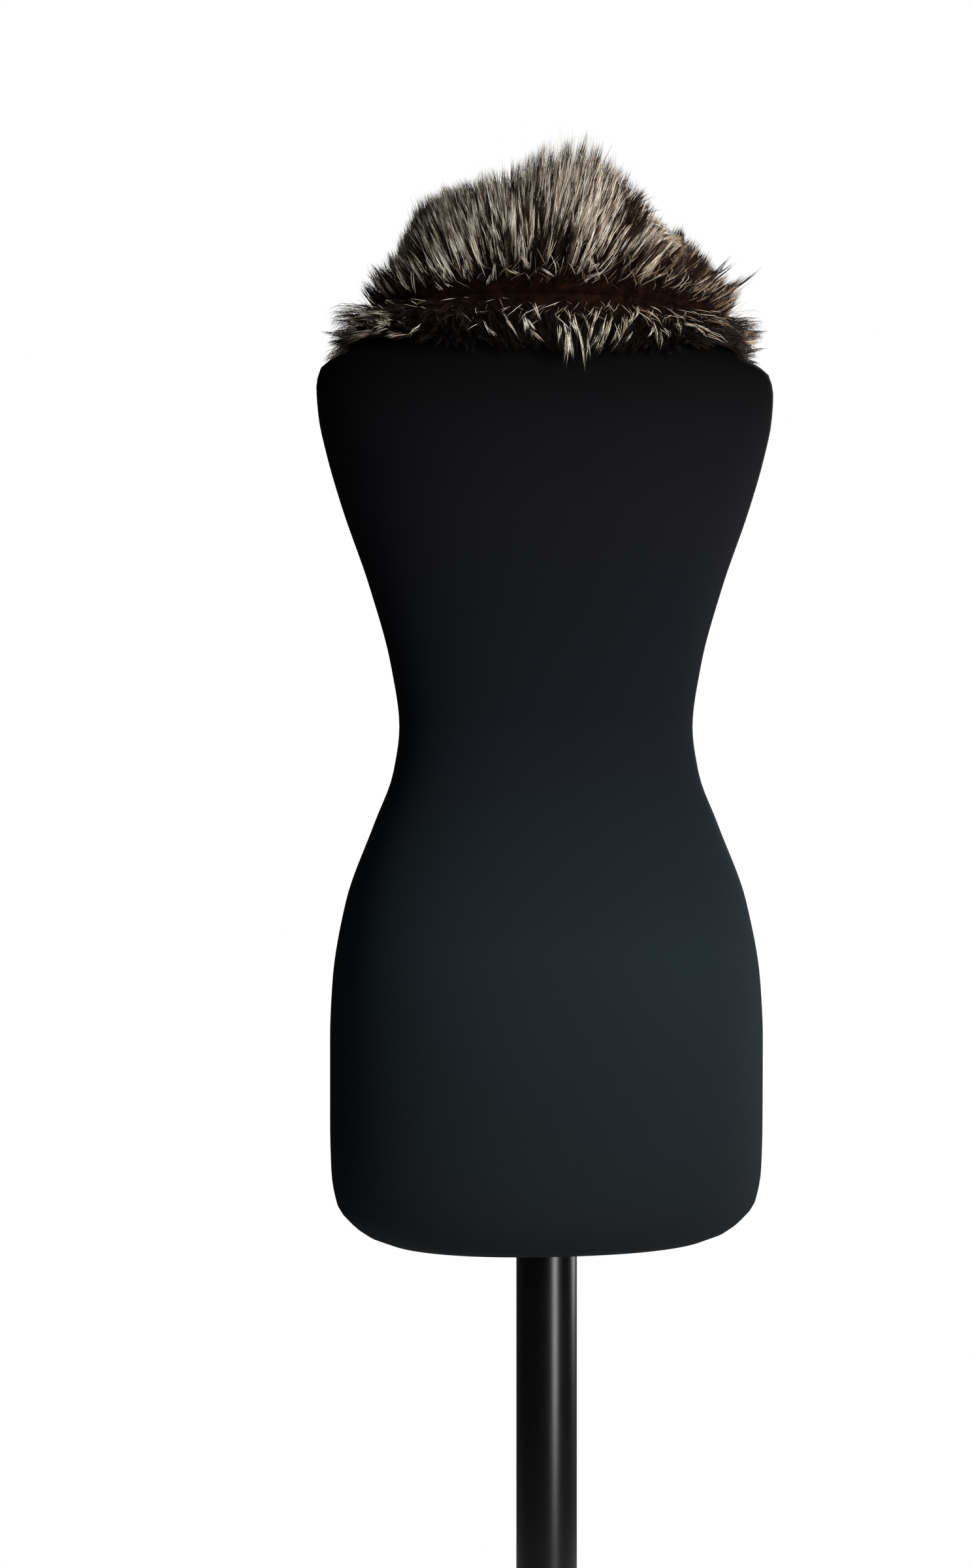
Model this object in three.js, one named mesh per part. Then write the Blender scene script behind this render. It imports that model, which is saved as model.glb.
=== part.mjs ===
import * as THREE from 'three';

// A fur collar wrap worn by a limbless dress form on a pole and a round foot.
// Millimetres, +Z up. The origin is the middle of the foot's underside.
// -Y is the front of the form, +X the wearer's left. A height h is above the form's underside.

// The stand
const BASE_RADIUS = 190;
const BASE_EDGE = 5;
const BASE_TOP = 12;
const HUB_RADIUS = 35;
const HUB_TOP = 46;
const POLE_RADIUS = 25.5;
const POLE_POCKET_RADIUS = 25.8;
const BASE_SIDES = 40;
const POLE_SIDES = 32;
const SEAT_GAP = 0.3;
const FORM_BOTTOM = 680;
const SOCKET_DEPTH = 90;

// The form: half width, and depth in front of and behind its middle plane, at each height
const FORM_ROUNDNESS = 2.25;
const FORM_RINGS = [
  { h: 0, half: 112, front: 66, back: 68 },
  { h: 3, half: 138, front: 84, back: 87 },
  { h: 9, half: 153, front: 95, back: 98 },
  { h: 19, half: 166, front: 102, back: 106 },
  { h: 32, half: 176, front: 108, back: 113 },
  { h: 60, half: 181, front: 111, back: 119 },
  { h: 100, half: 182, front: 112, back: 122 },
  { h: 170, half: 182, front: 112, back: 126 },
  { h: 217, half: 180, front: 108, back: 122 },
  { h: 283, half: 169, front: 100, back: 102 },
  { h: 349, half: 145, front: 94, back: 78 },
  { h: 392, half: 129, front: 90, back: 68 },
  { h: 430, half: 124, front: 87, back: 64 },
  { h: 481, half: 131, front: 88, back: 66 },
  { h: 547, half: 149, front: 92, back: 76 },
  { h: 613, half: 172, front: 96, back: 88 },
  { h: 657, half: 185, front: 88, back: 92 },
  { h: 690, half: 192, front: 78, back: 88 },
  { h: 712, half: 193.5, front: 68, back: 82 },
  { h: 727, half: 190, front: 62, back: 78 },
  { h: 737, half: 175, front: 56, back: 74 },
  { h: 746, half: 155, front: 50, back: 70 },
  { h: 757, half: 131, front: 46, back: 66 },
  { h: 767, half: 110, front: 44, back: 62 },
  { h: 780, half: 85, front: 44, back: 57 },
  { h: 795, half: 68, front: 47, back: 54 },
  { h: 815, half: 61, front: 52, back: 50 },
  { h: 835, half: 58, front: 56, back: 46 },
  { h: 848, half: 57, front: 58, back: 44 },
  { h: 852, half: 52, front: 53, back: 39 },
];
const FORM_SIDES = 44;
const BUST = { x: 82, h: 602, out: 28, wide: 52, high: 56 };

// The collar is a strip of pelt with its fur outside, parted along its length. Each row is a place
// along it, from the wearer's right front end, round the back of the neck, to the left front end:
// x, y, h  the parting, on the skin side
// wx, wy, wz  the way across the strip, towards its top or inner edge
// stand, fall  the width of pelt above and below the parting
// up, down  the depth of the fur above and below the parting
// part  the depth of the fur at the parting
// over, hang  how far the fur reaches past the top edge and past the lower edge
// lie, rest  how closely the pelt above and below the parting follows the form, from 0 to 1
const COLLAR_COLUMNS = [
  'x', 'y', 'h', 'wx', 'wy', 'wz', 'stand', 'fall', 'up', 'down', 'part', 'over', 'hang', 'lie',
  'rest'];
const COLLAR_ROWS = [
  [-100, -128, 568, 0.99, 0.00, -0.12, 50, 52, 33, 32, 25, 24, 30, 1, 1],
  [-92, -122, 612, 0.99, -0.10, -0.03, 53, 55, 34, 33, 26, 20, 34, 1, 1],
  [-90, -98, 653, 0.99, -0.10, 0.10, 55, 55, 35, 34, 26, 17, 34, 1, 1],
  [-98, -82, 690, 0.95, -0.10, 0.28, 58, 52, 36, 34, 27, 17, 32, 1, 1],
  [-117, -62, 720, 0.86, -0.12, 0.50, 60, 43, 37, 34, 28, 21, 22, 0.8, 1],
  [-137, -32, 748, 0.62, -0.04, 0.78, 60, 34, 41, 34, 32, 26, 10, 0.45, 0.95],
  [-136, 8, 764, 0.38, 0.00, 0.91, 58, 30, 46, 34, 33, 18, 7, 0.15, 0.85],
  [-112, 36, 770, 0.26, 0.03, 0.95, 54, 31, 45, 32, 30, 12, 10, 0.05, 0.65],
  [-78, 60, 774, 0.11, 0.08, 0.98, 50, 32, 43, 27, 22, 6, 12, 0, 0.32],
  [-42, 76, 776, 0.03, 0.12, 0.99, 69, 32, 42, 25, 19, 25, 12, 0, 0.12],
  [0, 82, 776, 0.00, 0.15, 0.99, 76, 32, 42, 24, 17, 41, 10, 0, 0],
  [44, 75, 776, -0.12, 0.12, 0.98, 69, 32, 42, 25, 19, 27, 12, 0, 0.12],
  [78, 60, 774, -0.26, 0.07, 0.96, 69, 32, 43, 27, 22, 21, 12, 0, 0.32],
  [106, 41, 771, -0.41, 0.03, 0.91, 71, 32, 44, 30, 28, 20, 11, 0.02, 0.58],
  [132, 8, 765, -0.56, 0.00, 0.82, 76, 30, 45, 32, 33, 25, 7, 0.15, 0.85],
  [135, -32, 748, -0.72, -0.04, 0.69, 72, 34, 42, 34, 32, 25, 10, 0.45, 0.95],
  [116, -62, 720, -0.88, -0.12, 0.47, 64, 43, 37, 34, 28, 21, 22, 0.8, 1],
  [100, -82, 690, -0.95, -0.10, 0.28, 59, 52, 36, 34, 27, 17, 32, 1, 1],
  [94, -98, 653, -0.99, -0.10, 0.10, 56, 58, 35, 34, 26, 17, 38, 1, 1],
  [102, -122, 612, -0.99, -0.10, -0.06, 54, 60, 34, 33, 26, 20, 42, 1, 1],
  [117, -128, 569, -0.98, 0.00, -0.16, 51, 54, 33, 32, 25, 24, 36, 1, 1],
];

const SHOULDER_SEAM_ROW = 4.35;
const SEAM_GAP = 0.3;
const SHOULDER_SEAM_GAP = 0.5;
const CHEST_LEVELLING = 0.7;
const FORM_GAP = 1.5;
const SETTLE_ROUNDS = 6;
const PARTING_WIDTH = 15;
const PARTING_BEND = 35;
const TIP_DEPTH = 0.3;
const DOME_POWER = 2.6;
const END_ROUNDING = 62;
const END_WIDTH = 0.12;
const END_DEPTH = 0.3;
const SKIN_STEPS = [0, 0.34, 0.67, 1];
const STAND_STEPS = [1, 0.9, 0.77, 0.62, 0.46, 0.31, 0.18, 0.08, 0];
const FALL_STEPS = [0, 0.13, 0.3, 0.52, 0.77, 1];

// The fur falls in locks, which stand out of its surface and give it a jagged rim.
const LOCK_WIDTH = 18;
const STATIONS_PER_LOCK = 4;
const LOCK_RELIEF = 5;
const LOCK_JAG = 15;
const LOCK_SLANT = 0.6;
const LOCK_MEAN = 0.4;

const FORM_CLOTH = new THREE.MeshStandardMaterial({ color: 0x0c0d10, roughness: 0.82, metalness: 0 });
const POLE_LACQUER = new THREE.MeshStandardMaterial({ color: 0x0e0e10, roughness: 0.35, metalness: 0.6 });
const BASE_LACQUER = new THREE.MeshStandardMaterial({ color: 0x0f0f11, roughness: 0.5, metalness: 0.4 });
const FUR_PALE = new THREE.MeshStandardMaterial({ color: 0x8a8276, roughness: 0.9, metalness: 0 });
const FUR_DARK = new THREE.MeshStandardMaterial({ color: 0x2b1d17, roughness: 0.95, metalness: 0 });

// A smooth curve through the values of one column: cubic pieces whose slope at each row is the
// harmonic mean of its neighbours', so it never swings past a row.
function smoothColumn(knots, values) {
  const rises = values.slice(1).map((v, i) => (v - values[i]) / (knots[i + 1] - knots[i]));
  const slopes = values.map((_, i) => {
    const before = rises[Math.max(0, i - 1)];
    const after = rises[Math.min(rises.length - 1, i)];
    return before * after > 0 ? (2 * before * after) / (before + after) : 0;
  });
  return (at) => {
    let i = 0;
    while (i < knots.length - 2 && at > knots[i + 1]) i += 1;
    const span = knots[i + 1] - knots[i];
    const t = THREE.MathUtils.clamp((at - knots[i]) / span, 0, 1);
    const eased = t * t * (3 - 2 * t);
    const bendStart = t * (1 - t) * (1 - t) * span * slopes[i];
    const bendEnd = -t * t * (1 - t) * span * slopes[i + 1];
    return values[i] + (values[i + 1] - values[i]) * eased + bendStart + bendEnd;
  };
}

const ringHeights = FORM_RINGS.map((row) => row.h);
const formHalf = smoothColumn(ringHeights, FORM_RINGS.map((row) => row.half));
const formFront = smoothColumn(ringHeights, FORM_RINGS.map((row) => row.front));
const formBack = smoothColumn(ringHeights, FORM_RINGS.map((row) => row.back));

function bustOut(x, h) {
  const across = (Math.abs(x) - BUST.x) / BUST.wide;
  const up = (h - BUST.h) / BUST.high;
  return BUST.out * Math.exp(-across * across - up * up);
}

// Below 0 inside the form, 0 on it and above 0 outside: each level section is a superellipse.
function formField(p) {
  const h = p.z - FORM_BOTTOM;
  const y = p.y < 0 ? Math.min(0, p.y + bustOut(p.x, h)) : p.y;
  const depth = p.y < 0 ? formFront(h) : formBack(h);
  const sum = (Math.abs(p.x) / formHalf(h)) ** FORM_ROUNDNESS + (Math.abs(y) / depth) ** FORM_ROUNDNESS;
  return sum ** (1 / FORM_ROUNDNESS) - 1;
}

function formGradient(p) {
  const step = 0.5;
  const slope = (axis) => {
    const ahead = p.clone();
    const behind = p.clone();
    ahead[axis] += step;
    behind[axis] -= step;
    return (formField(ahead) - formField(behind)) / (2 * step);
  };
  return new THREE.Vector3(slope('x'), slope('y'), slope('z'));
}

// The point moved to FORM_GAP from the form, within the plane across the way `along`.
// Where `pull` is 0 a point that is already clear stays where it is; 1 draws it all the way in.
function settle(start, along, pull) {
  const p = start.clone();
  for (let round = 0; round < SETTLE_ROUNDS; round += 1) {
    const slope = formGradient(p);
    const short = FORM_GAP * slope.length() - formField(p);
    const flat = slope.clone().addScaledVector(along, -slope.dot(along));
    const share = short > 0 ? 1 : pull / 2;
    p.addScaledVector(flat, (share * short) / Math.max(flat.lengthSq(), 1e-9));
  }
  return p;
}

const LAST_ROW = (COLLAR_ROWS.length - 1) / 2;

// A curve with even bends through one column of the collar's rows, at 0 in the middle of the back
function collarColumn(name, at) {
  const column = COLLAR_COLUMNS.indexOf(name);
  const value = (i) => COLLAR_ROWS[THREE.MathUtils.clamp(i, 0, 2 * LAST_ROW)][column];
  const place = THREE.MathUtils.clamp(at + LAST_ROW, 0, 2 * LAST_ROW - 1e-9);
  const i = Math.floor(place);
  const t = place - i;
  const [a, b, c, d] = [value(i - 1), value(i), value(i + 1), value(i + 2)];
  return b + 0.5 * t * (c - a + t * (2 * a - 5 * b + 4 * c - d + t * (3 * (b - c) + d - a)));
}

function partingPoint(at) {
  return new THREE.Vector3(
    collarColumn('x', at), collarColumn('y', at), FORM_BOTTOM + collarColumn('h', at));
}

// Length along the parting, from the middle of the back, at places a small step apart
const ROW_STEP = 0.02;
const places = [];
for (let i = 0; i <= (2 * LAST_ROW) / ROW_STEP; i += 1) places.push(i * ROW_STEP - LAST_ROW);
const lengths = [0];
for (let i = 1; i < places.length; i += 1) {
  lengths.push(lengths[i - 1] + partingPoint(places[i]).distanceTo(partingPoint(places[i - 1])));
}
const middleLength = lengths[(places.length - 1) / 2];

// The value of `to` where `from`, which rises, reaches x, on straight lines between their points
function between(from, to, x) {
  let i = 0;
  while (i < from.length - 2 && x > from[i + 1]) i += 1;
  return THREE.MathUtils.mapLinear(x, from[i], from[i + 1], to[i], to[i + 1]);
}

const lengthAt = (at) => between(places, lengths, at) - middleLength;
const placeAt = (s) => between(lengths, places, s + middleLength);
const RIGHT_END = lengthAt(-LAST_ROW);
const LEFT_END = lengthAt(LAST_ROW);
const RIGHT_SEAM = lengthAt(-SHOULDER_SEAM_ROW);
const LEFT_SEAM = lengthAt(SHOULDER_SEAM_ROW);

// How far the lock at length s stands out, from 0 between locks to 1 on the strongest.
function lockHeight(s, fraction) {
  const place = s / LOCK_WIDTH + LOCK_SLANT * fraction;
  const index = Math.floor(place);
  const strength = 0.5 + 0.5 * Math.abs(Math.sin(index * 12.9898) * 43758.5453 % 1);
  return strength * (1 - Math.abs(2 * (place - index) - 1)) ** 0.8;
}

// The frame of the strip at length s: the parting, the ways along, across and out, and its sizes.
// On the chest the way along is turned level, so that neighbouring sections don't run together.
function stripFrame(s) {
  const at = placeAt(s);
  const follow = (name) => THREE.MathUtils.clamp(collarColumn(name, at), 0, 1);
  const [lie, rest] = [follow('lie'), follow('rest')];
  const along = partingPoint(at + 0.01).sub(partingPoint(at - 0.01));
  along.y *= 1 - CHEST_LEVELLING * lie;
  along.normalize();
  const p = settle(partingPoint(at), along, lie);
  const free = new THREE.Vector3(
    collarColumn('wx', at), collarColumn('wy', at), collarColumn('wz', at));
  free.addScaledVector(along, -free.dot(along)).normalize();
  const lying = new THREE.Vector3().crossVectors(along, formGradient(p)).normalize();
  const half = (closeness) => {
    const across = free.clone().lerp(lying, closeness).normalize();
    return { closeness, across, out: new THREE.Vector3().crossVectors(across, along).normalize() };
  };
  const toEnd = THREE.MathUtils.clamp(Math.min(LEFT_END - s, s - RIGHT_END) / END_ROUNDING, 0, 1);
  const round = Math.sqrt(1 - (1 - toEnd) ** 2);
  const width = THREE.MathUtils.lerp(END_WIDTH, 1, round);
  const depth = THREE.MathUtils.lerp(END_DEPTH, 1, round);
  return { s, at, p, along, above: half(lie), below: half(rest), width, depth };
}

// How far the pelt has turned from the parting's slope to the lower half's own, w below the parting
const turnAt = (w) => (w < 0 ? 1 - Math.exp(-((w / PARTING_BEND) ** 2)) : 0);

// The point of the pelt's skin side that lies w across from the parting
function skinPoint(frame, w) {
  const { across } = w < 0 ? frame.below : frame.above;
  const closeness = THREE.MathUtils.lerp(frame.above.closeness, frame.below.closeness, turnAt(w));
  return settle(frame.p.clone().addScaledVector(across, w), frame.along, closeness);
}

// One half of the strip's section: `way` is 1 above the parting and -1 below it.
// The fur's depth rises from the parting's and falls off towards its tips:
// depth = parting + (loft (tip + (1 - tip) sqrt(1 - f^power)) - parting) (1 - exp(-(w / width)^2))
function halfSection(frame, way, steps) {
  const up = way > 0;
  const pelt = frame.width * collarColumn(up ? 'stand' : 'fall', frame.at);
  const reach = frame.width * collarColumn(up ? 'over' : 'hang', frame.at);
  const loft = collarColumn(up ? 'up' : 'down', frame.at);
  const parting = collarColumn('part', frame.at);
  const skin = SKIN_STEPS.map((f) => skinPoint(frame, way * Math.max(SEAM_GAP / 2, f * pelt)));
  const fur = steps.map((f) => {
    const lock = lockHeight(frame.s, way * f) - LOCK_MEAN;
    const w = f * (pelt + reach + f * frame.width * LOCK_JAG * lock);
    const rise = 1 - Math.exp(-((w / PARTING_WIDTH) ** 2));
    const dome = THREE.MathUtils.lerp(TIP_DEPTH, 1, Math.sqrt(1 - f ** DOME_POWER));
    const depth = parting + (loft * dome + LOCK_RELIEF * lock - parting) * rise;
    const side = way * Math.max(SEAM_GAP / 2, w);
    const out = frame.above.out.clone().lerp(frame.below.out, turnAt(side)).normalize();
    return skinPoint(frame, side).addScaledVector(out, frame.depth * depth);
  });
  return { skin, fur };
}

function standSection(frame) {
  const { skin, fur } = halfSection(frame, 1, STAND_STEPS);
  return [...skin, ...fur];
}

function fallSection(frame) {
  const { skin, fur } = halfSection(frame, -1, FALL_STEPS);
  return [...fur.reverse(), ...skin];
}

function wholeSection(frame) {
  const above = halfSection(frame, 1, STAND_STEPS);
  const below = halfSection(frame, -1, FALL_STEPS);
  return [...below.skin.reverse(), ...above.skin.slice(1), ...above.fur, ...below.fur.slice(1)];
}

// A closed solid from rings of points, all of one count, with a flat or nearly flat face on each end.
function ringSolid(rings, ends) {
  const count = rings[0].length;
  const points = rings.flat();
  const faces = [];
  for (let r = 0; r + 1 < rings.length; r += 1) {
    for (let i = 0; i < count; i += 1) {
      const a = r * count + i;
      const b = r * count + ((i + 1) % count);
      faces.push([a, b, b + count], [a, b + count, a + count]);
    }
  }
  const last = (rings.length - 1) * count;
  ends.first.forEach(([a, b, c]) => faces.push([c, b, a]));
  ends.last.forEach(([a, b, c]) => faces.push([a + last, b + last, c + last]));
  const volume = faces.reduce((sum, [a, b, c]) => (
    sum + points[a].dot(new THREE.Vector3().crossVectors(points[b], points[c]))), 0);
  const outwards = volume > 0 ? faces : faces.map(([a, b, c]) => [c, b, a]);
  const geometry = new THREE.BufferGeometry();
  geometry.setAttribute('position', new THREE.Float32BufferAttribute(
    points.flatMap((p) => [p.x, p.y, p.z]), 3));
  geometry.setIndex(outwards.flat());
  geometry.computeVertexNormals();
  return geometry;
}

// The triangles of a flat outline, which run the same way round as its points do
function outlineFaces(outline) {
  const faces = THREE.ShapeUtils.triangulateShape(outline, []);
  return THREE.ShapeUtils.isClockWise(outline) ? faces.map(([a, b, c]) => [c, b, a]) : faces;
}

function sectionFace(frame, ring) {
  return outlineFaces(ring.map((p) => {
    const offset = p.clone().sub(frame.p);
    return new THREE.Vector2(offset.dot(frame.above.across), offset.dot(frame.above.out));
  }));
}

function stripGeometry(fromS, toS, section) {
  const steps = Math.max(2, Math.round(((toS - fromS) / LOCK_WIDTH) * STATIONS_PER_LOCK));
  const frames = Array.from({ length: steps + 1 }, (_, i) => (
    stripFrame(THREE.MathUtils.lerp(fromS, toS, i / steps))));
  const rings = frames.map(section);
  return ringSolid(rings, {
    first: sectionFace(frames[0], rings[0]),
    last: sectionFace(frames[steps], rings[steps]),
  });
}

function formRing(h) {
  return Array.from({ length: FORM_SIDES }, (_, i) => {
    const angle = (2 * Math.PI * i) / FORM_SIDES;
    const bend = (value) => Math.sign(value) * Math.abs(value) ** (2 / FORM_ROUNDNESS);
    const x = formHalf(h) * bend(Math.cos(angle));
    const side = bend(Math.sin(angle));
    const y = side < 0 ? formFront(h) * side - bustOut(x, h) * Math.min(1, -2 * side) : formBack(h) * side;
    return new THREE.Vector3(x, y, FORM_BOTTOM + h);
  });
}

function socketRing(h) {
  return Array.from({ length: FORM_SIDES }, (_, i) => {
    const angle = (2 * Math.PI * i) / FORM_SIDES;
    return new THREE.Vector3(
      POLE_POCKET_RADIUS * Math.cos(angle), POLE_POCKET_RADIUS * Math.sin(angle), FORM_BOTTOM + h);
  });
}

// The most between two rings: less where the collar rests on the form
const ringSpacing = (h) => (h > 530 ? 23 : 45);

// The form's skin from the neck down, then its underside and the socket that takes the pole
function formGeometry() {
  const heights = [];
  FORM_RINGS.forEach((row, i) => {
    heights.push(row.h);
    const next = FORM_RINGS[i + 1];
    const parts = next ? Math.ceil((next.h - row.h) / ringSpacing(row.h)) : 1;
    for (let k = 1; k < parts; k += 1) heights.push(row.h + (k * (next.h - row.h)) / parts);
  });
  const skin = heights.reverse().map(formRing);
  const rings = [...skin, socketRing(0), socketRing(SOCKET_DEPTH)];
  const flat = (ring) => outlineFaces(ring.map((p) => new THREE.Vector2(p.x, p.y)));
  return ringSolid(rings, { first: flat(rings[0]), last: flat(rings[rings.length - 1]) });
}

function turned(profile, sides) {
  const points = profile.map(([radius, height]) => new THREE.Vector2(radius, height));
  const geometry = new THREE.LatheGeometry(points, sides);
  geometry.rotateX(Math.PI / 2);
  return geometry;
}

const baseProfile = [
  [0, 0], [BASE_RADIUS - 2, 0], [BASE_RADIUS, 2], [BASE_RADIUS, BASE_EDGE], [BASE_RADIUS - 4, 8],
  [HUB_RADIUS + 25, BASE_TOP + 3], [HUB_RADIUS + 6, BASE_TOP + 10], [HUB_RADIUS, BASE_TOP + 18],
  [HUB_RADIUS, HUB_TOP - 2], [HUB_RADIUS - 2, HUB_TOP],
  [POLE_POCKET_RADIUS, HUB_TOP], [POLE_POCKET_RADIUS, BASE_TOP], [0, BASE_TOP],
];
const poleFoot = BASE_TOP + SEAT_GAP;
const poleHead = FORM_BOTTOM + SOCKET_DEPTH - SEAT_GAP;
const poleProfile = [[0, poleFoot], [POLE_RADIUS, poleFoot], [POLE_RADIUS, poleHead], [0, poleHead]];

const collarWrap = new THREE.Group();
collarWrap.name = 'fur_collar_wrap';

function addPiece(name, geometry, material) {
  const mesh = new THREE.Mesh(geometry, material);
  mesh.name = name;
  collarWrap.add(mesh);
}

const halfSeam = SHOULDER_SEAM_GAP / 2;
const backFrom = RIGHT_SEAM + halfSeam;
const backTo = LEFT_SEAM - halfSeam;

addPiece('base', turned(baseProfile, BASE_SIDES), BASE_LACQUER);
addPiece('pole', turned(poleProfile, POLE_SIDES), POLE_LACQUER);
addPiece('form_torso', formGeometry(), FORM_CLOTH);
addPiece('collar_back_stand', stripGeometry(backFrom, backTo, standSection), FUR_PALE);
addPiece('collar_back_fall', stripGeometry(backFrom, backTo, fallSection), FUR_DARK);
addPiece('collar_left_front', stripGeometry(LEFT_SEAM + halfSeam, LEFT_END, wholeSection), FUR_PALE);
addPiece('collar_right_front', stripGeometry(RIGHT_END, RIGHT_SEAM - halfSeam, wholeSection), FUR_PALE);

export default collarWrap;
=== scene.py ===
# %% [markdown]
# # A fur collar wrap on a limbless dress form, seen from behind
#
# The real thing is a strip of long-haired pelt, laid round the back of the neck and over both
# shoulders of a dress form. It is parted along its middle: above the parting the hair stands up
# and fans out, below it the hair falls over the shoulders, and in between the dark underfur shows.
#
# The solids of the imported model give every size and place. This script keeps them and builds the
# surfaces that are seen: jersey over the form, a lacquered pole and foot, the skin side of the
# pelt, the soft underfur, and tens of thousands of guard hairs gathered into locks.
# Lengths are in millimetres until a mesh is made, and Blender's own unit is the metre.

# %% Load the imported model
from math import radians
from types import SimpleNamespace

import bpy
import numpy as np
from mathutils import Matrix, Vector


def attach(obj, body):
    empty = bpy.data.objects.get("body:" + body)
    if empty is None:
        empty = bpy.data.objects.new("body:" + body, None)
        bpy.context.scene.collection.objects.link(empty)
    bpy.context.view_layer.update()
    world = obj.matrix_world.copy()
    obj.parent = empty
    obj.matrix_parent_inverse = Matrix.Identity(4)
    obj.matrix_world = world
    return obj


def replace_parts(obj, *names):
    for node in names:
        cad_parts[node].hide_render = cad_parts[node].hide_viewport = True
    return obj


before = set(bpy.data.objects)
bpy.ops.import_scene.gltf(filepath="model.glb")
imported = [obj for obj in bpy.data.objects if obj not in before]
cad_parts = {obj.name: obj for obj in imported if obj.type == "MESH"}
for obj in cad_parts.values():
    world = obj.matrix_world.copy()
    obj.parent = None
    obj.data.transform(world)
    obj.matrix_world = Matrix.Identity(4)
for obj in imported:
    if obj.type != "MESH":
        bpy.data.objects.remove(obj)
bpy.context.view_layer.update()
MM = 0.001
print("the solids:", sorted(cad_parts))

# %% [markdown]
# ## The camera
#
# The picture was taken from behind, level, a little under two metres away, with the form turned
# slightly. The lens follows from how much of the height is seen at that distance.

# %% Place the camera
CAMERA_PLACE = (270.0, 1780.4, 1062.0)
CAMERA_TURN = 173.0
CAMERA_DISTANCE = 1800.0
SEEN_HEIGHT = 1320.0
SENSOR_HEIGHT = 24.0

camera = bpy.data.objects.new("camera", bpy.data.cameras.new("camera"))
bpy.context.scene.collection.objects.link(camera)
camera.location = [v * MM for v in CAMERA_PLACE]
camera.rotation_euler = (radians(90), 0, radians(CAMERA_TURN))
camera.data.sensor_fit = "VERTICAL"
camera.data.sensor_height = SENSOR_HEIGHT
camera.data.lens = SENSOR_HEIGHT * CAMERA_DISTANCE / SEEN_HEIGHT
bpy.context.scene.camera = camera
print(f"lens {camera.data.lens:.1f} mm")

# %% [markdown]
# ## Meshes from arrays
#
# Every new piece is worked out as whole numpy arrays of points, then handed to Blender in one go.
# Filling a mesh with `foreach_set` is hundreds of times faster than adding vertices in a loop,
# which matters when a collar has tens of thousands of hairs.

# %% Turn arrays of points and faces into a piece
def make_piece(name, points, faces, material, uv=None):
    """A mesh object from points in millimetres (n x 3) and faces, a list of index arrays with 3 or 4
    columns. Each corner takes its vertex's uv. The piece rides on the one body of the model."""
    faces = [np.asarray(part, dtype=np.int32) for part in faces]
    loops = np.concatenate([part.ravel() for part in faces])
    sizes = np.concatenate([np.full(len(part), part.shape[1]) for part in faces])
    mesh = bpy.data.meshes.new(name)
    mesh.vertices.add(len(points))
    mesh.vertices.foreach_set("co", (np.asarray(points) * MM).astype(np.float32).ravel())
    mesh.loops.add(len(loops))
    mesh.loops.foreach_set("vertex_index", loops)
    mesh.polygons.add(len(sizes))
    mesh.polygons.foreach_set("loop_start", (np.cumsum(sizes) - sizes).astype(np.int32))
    mesh.polygons.foreach_set("use_smooth", np.ones(len(sizes), dtype=bool))
    if uv is not None:
        layer = mesh.uv_layers.new(name="OFBake")
        layer.data.foreach_set("uv", np.asarray(uv, dtype=np.float32)[loops].ravel())
    mesh.update(calc_edges=True)
    mesh.validate()
    mesh.materials.append(material)
    piece = bpy.data.objects.new(name, mesh)
    bpy.context.scene.collection.objects.link(piece)
    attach(piece, "root")
    print(f"{name}: {int((sizes - 2).sum())} triangles")
    return piece


def grid_faces(rows, columns, wrap=False):
    """Four-cornered faces between neighbouring rows of a grid. With wrap, each row closes on itself."""
    row = np.arange(rows - 1)[:, None] * columns
    column = np.arange(columns if wrap else columns - 1)[None]
    ahead = (column + 1) % columns
    corners = [row + column, row + ahead, row + columns + ahead, row + columns + column]
    return np.stack(corners, axis=-1).reshape(-1, 4)


def fan_faces(centre, ring, flip=False):
    """Triangles from one point to a closed ring of points."""
    ahead = np.roll(ring, -1)
    corners = [np.full(len(ring), centre), ahead if flip else ring, ring if flip else ahead]
    return np.stack(corners, axis=-1)

# %% [markdown]
# ## Shader maths in plain Python
#
# A node tree is a formula drawn as boxes. `Value` wraps one output socket, so a formula can be
# written as `1 - mask * 0.5`, and every operator adds the Math node that it stands for.

# %% A small language for node trees
class Value:
    """One output socket with the operators of ordinary arithmetic."""

    def __init__(self, maker, socket):
        self.maker = maker
        self.socket = socket

    def math(self, operation, *others):
        return self.maker.node("ShaderNodeMath", {"operation": operation}, [self, *others])

    def __add__(self, other):
        return self.math("ADD", other)

    def __sub__(self, other):
        return self.math("SUBTRACT", other)

    def __rsub__(self, other):
        return self.maker.node("ShaderNodeMath", {"operation": "SUBTRACT"}, [other, self])

    def __mul__(self, other):
        return self.math("MULTIPLY", other)

    def __truediv__(self, other):
        return self.math("DIVIDE", other)

    __radd__ = __add__
    __rmul__ = __mul__


SOCKETS = {"specular": "Specular IOR Level"}


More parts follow.
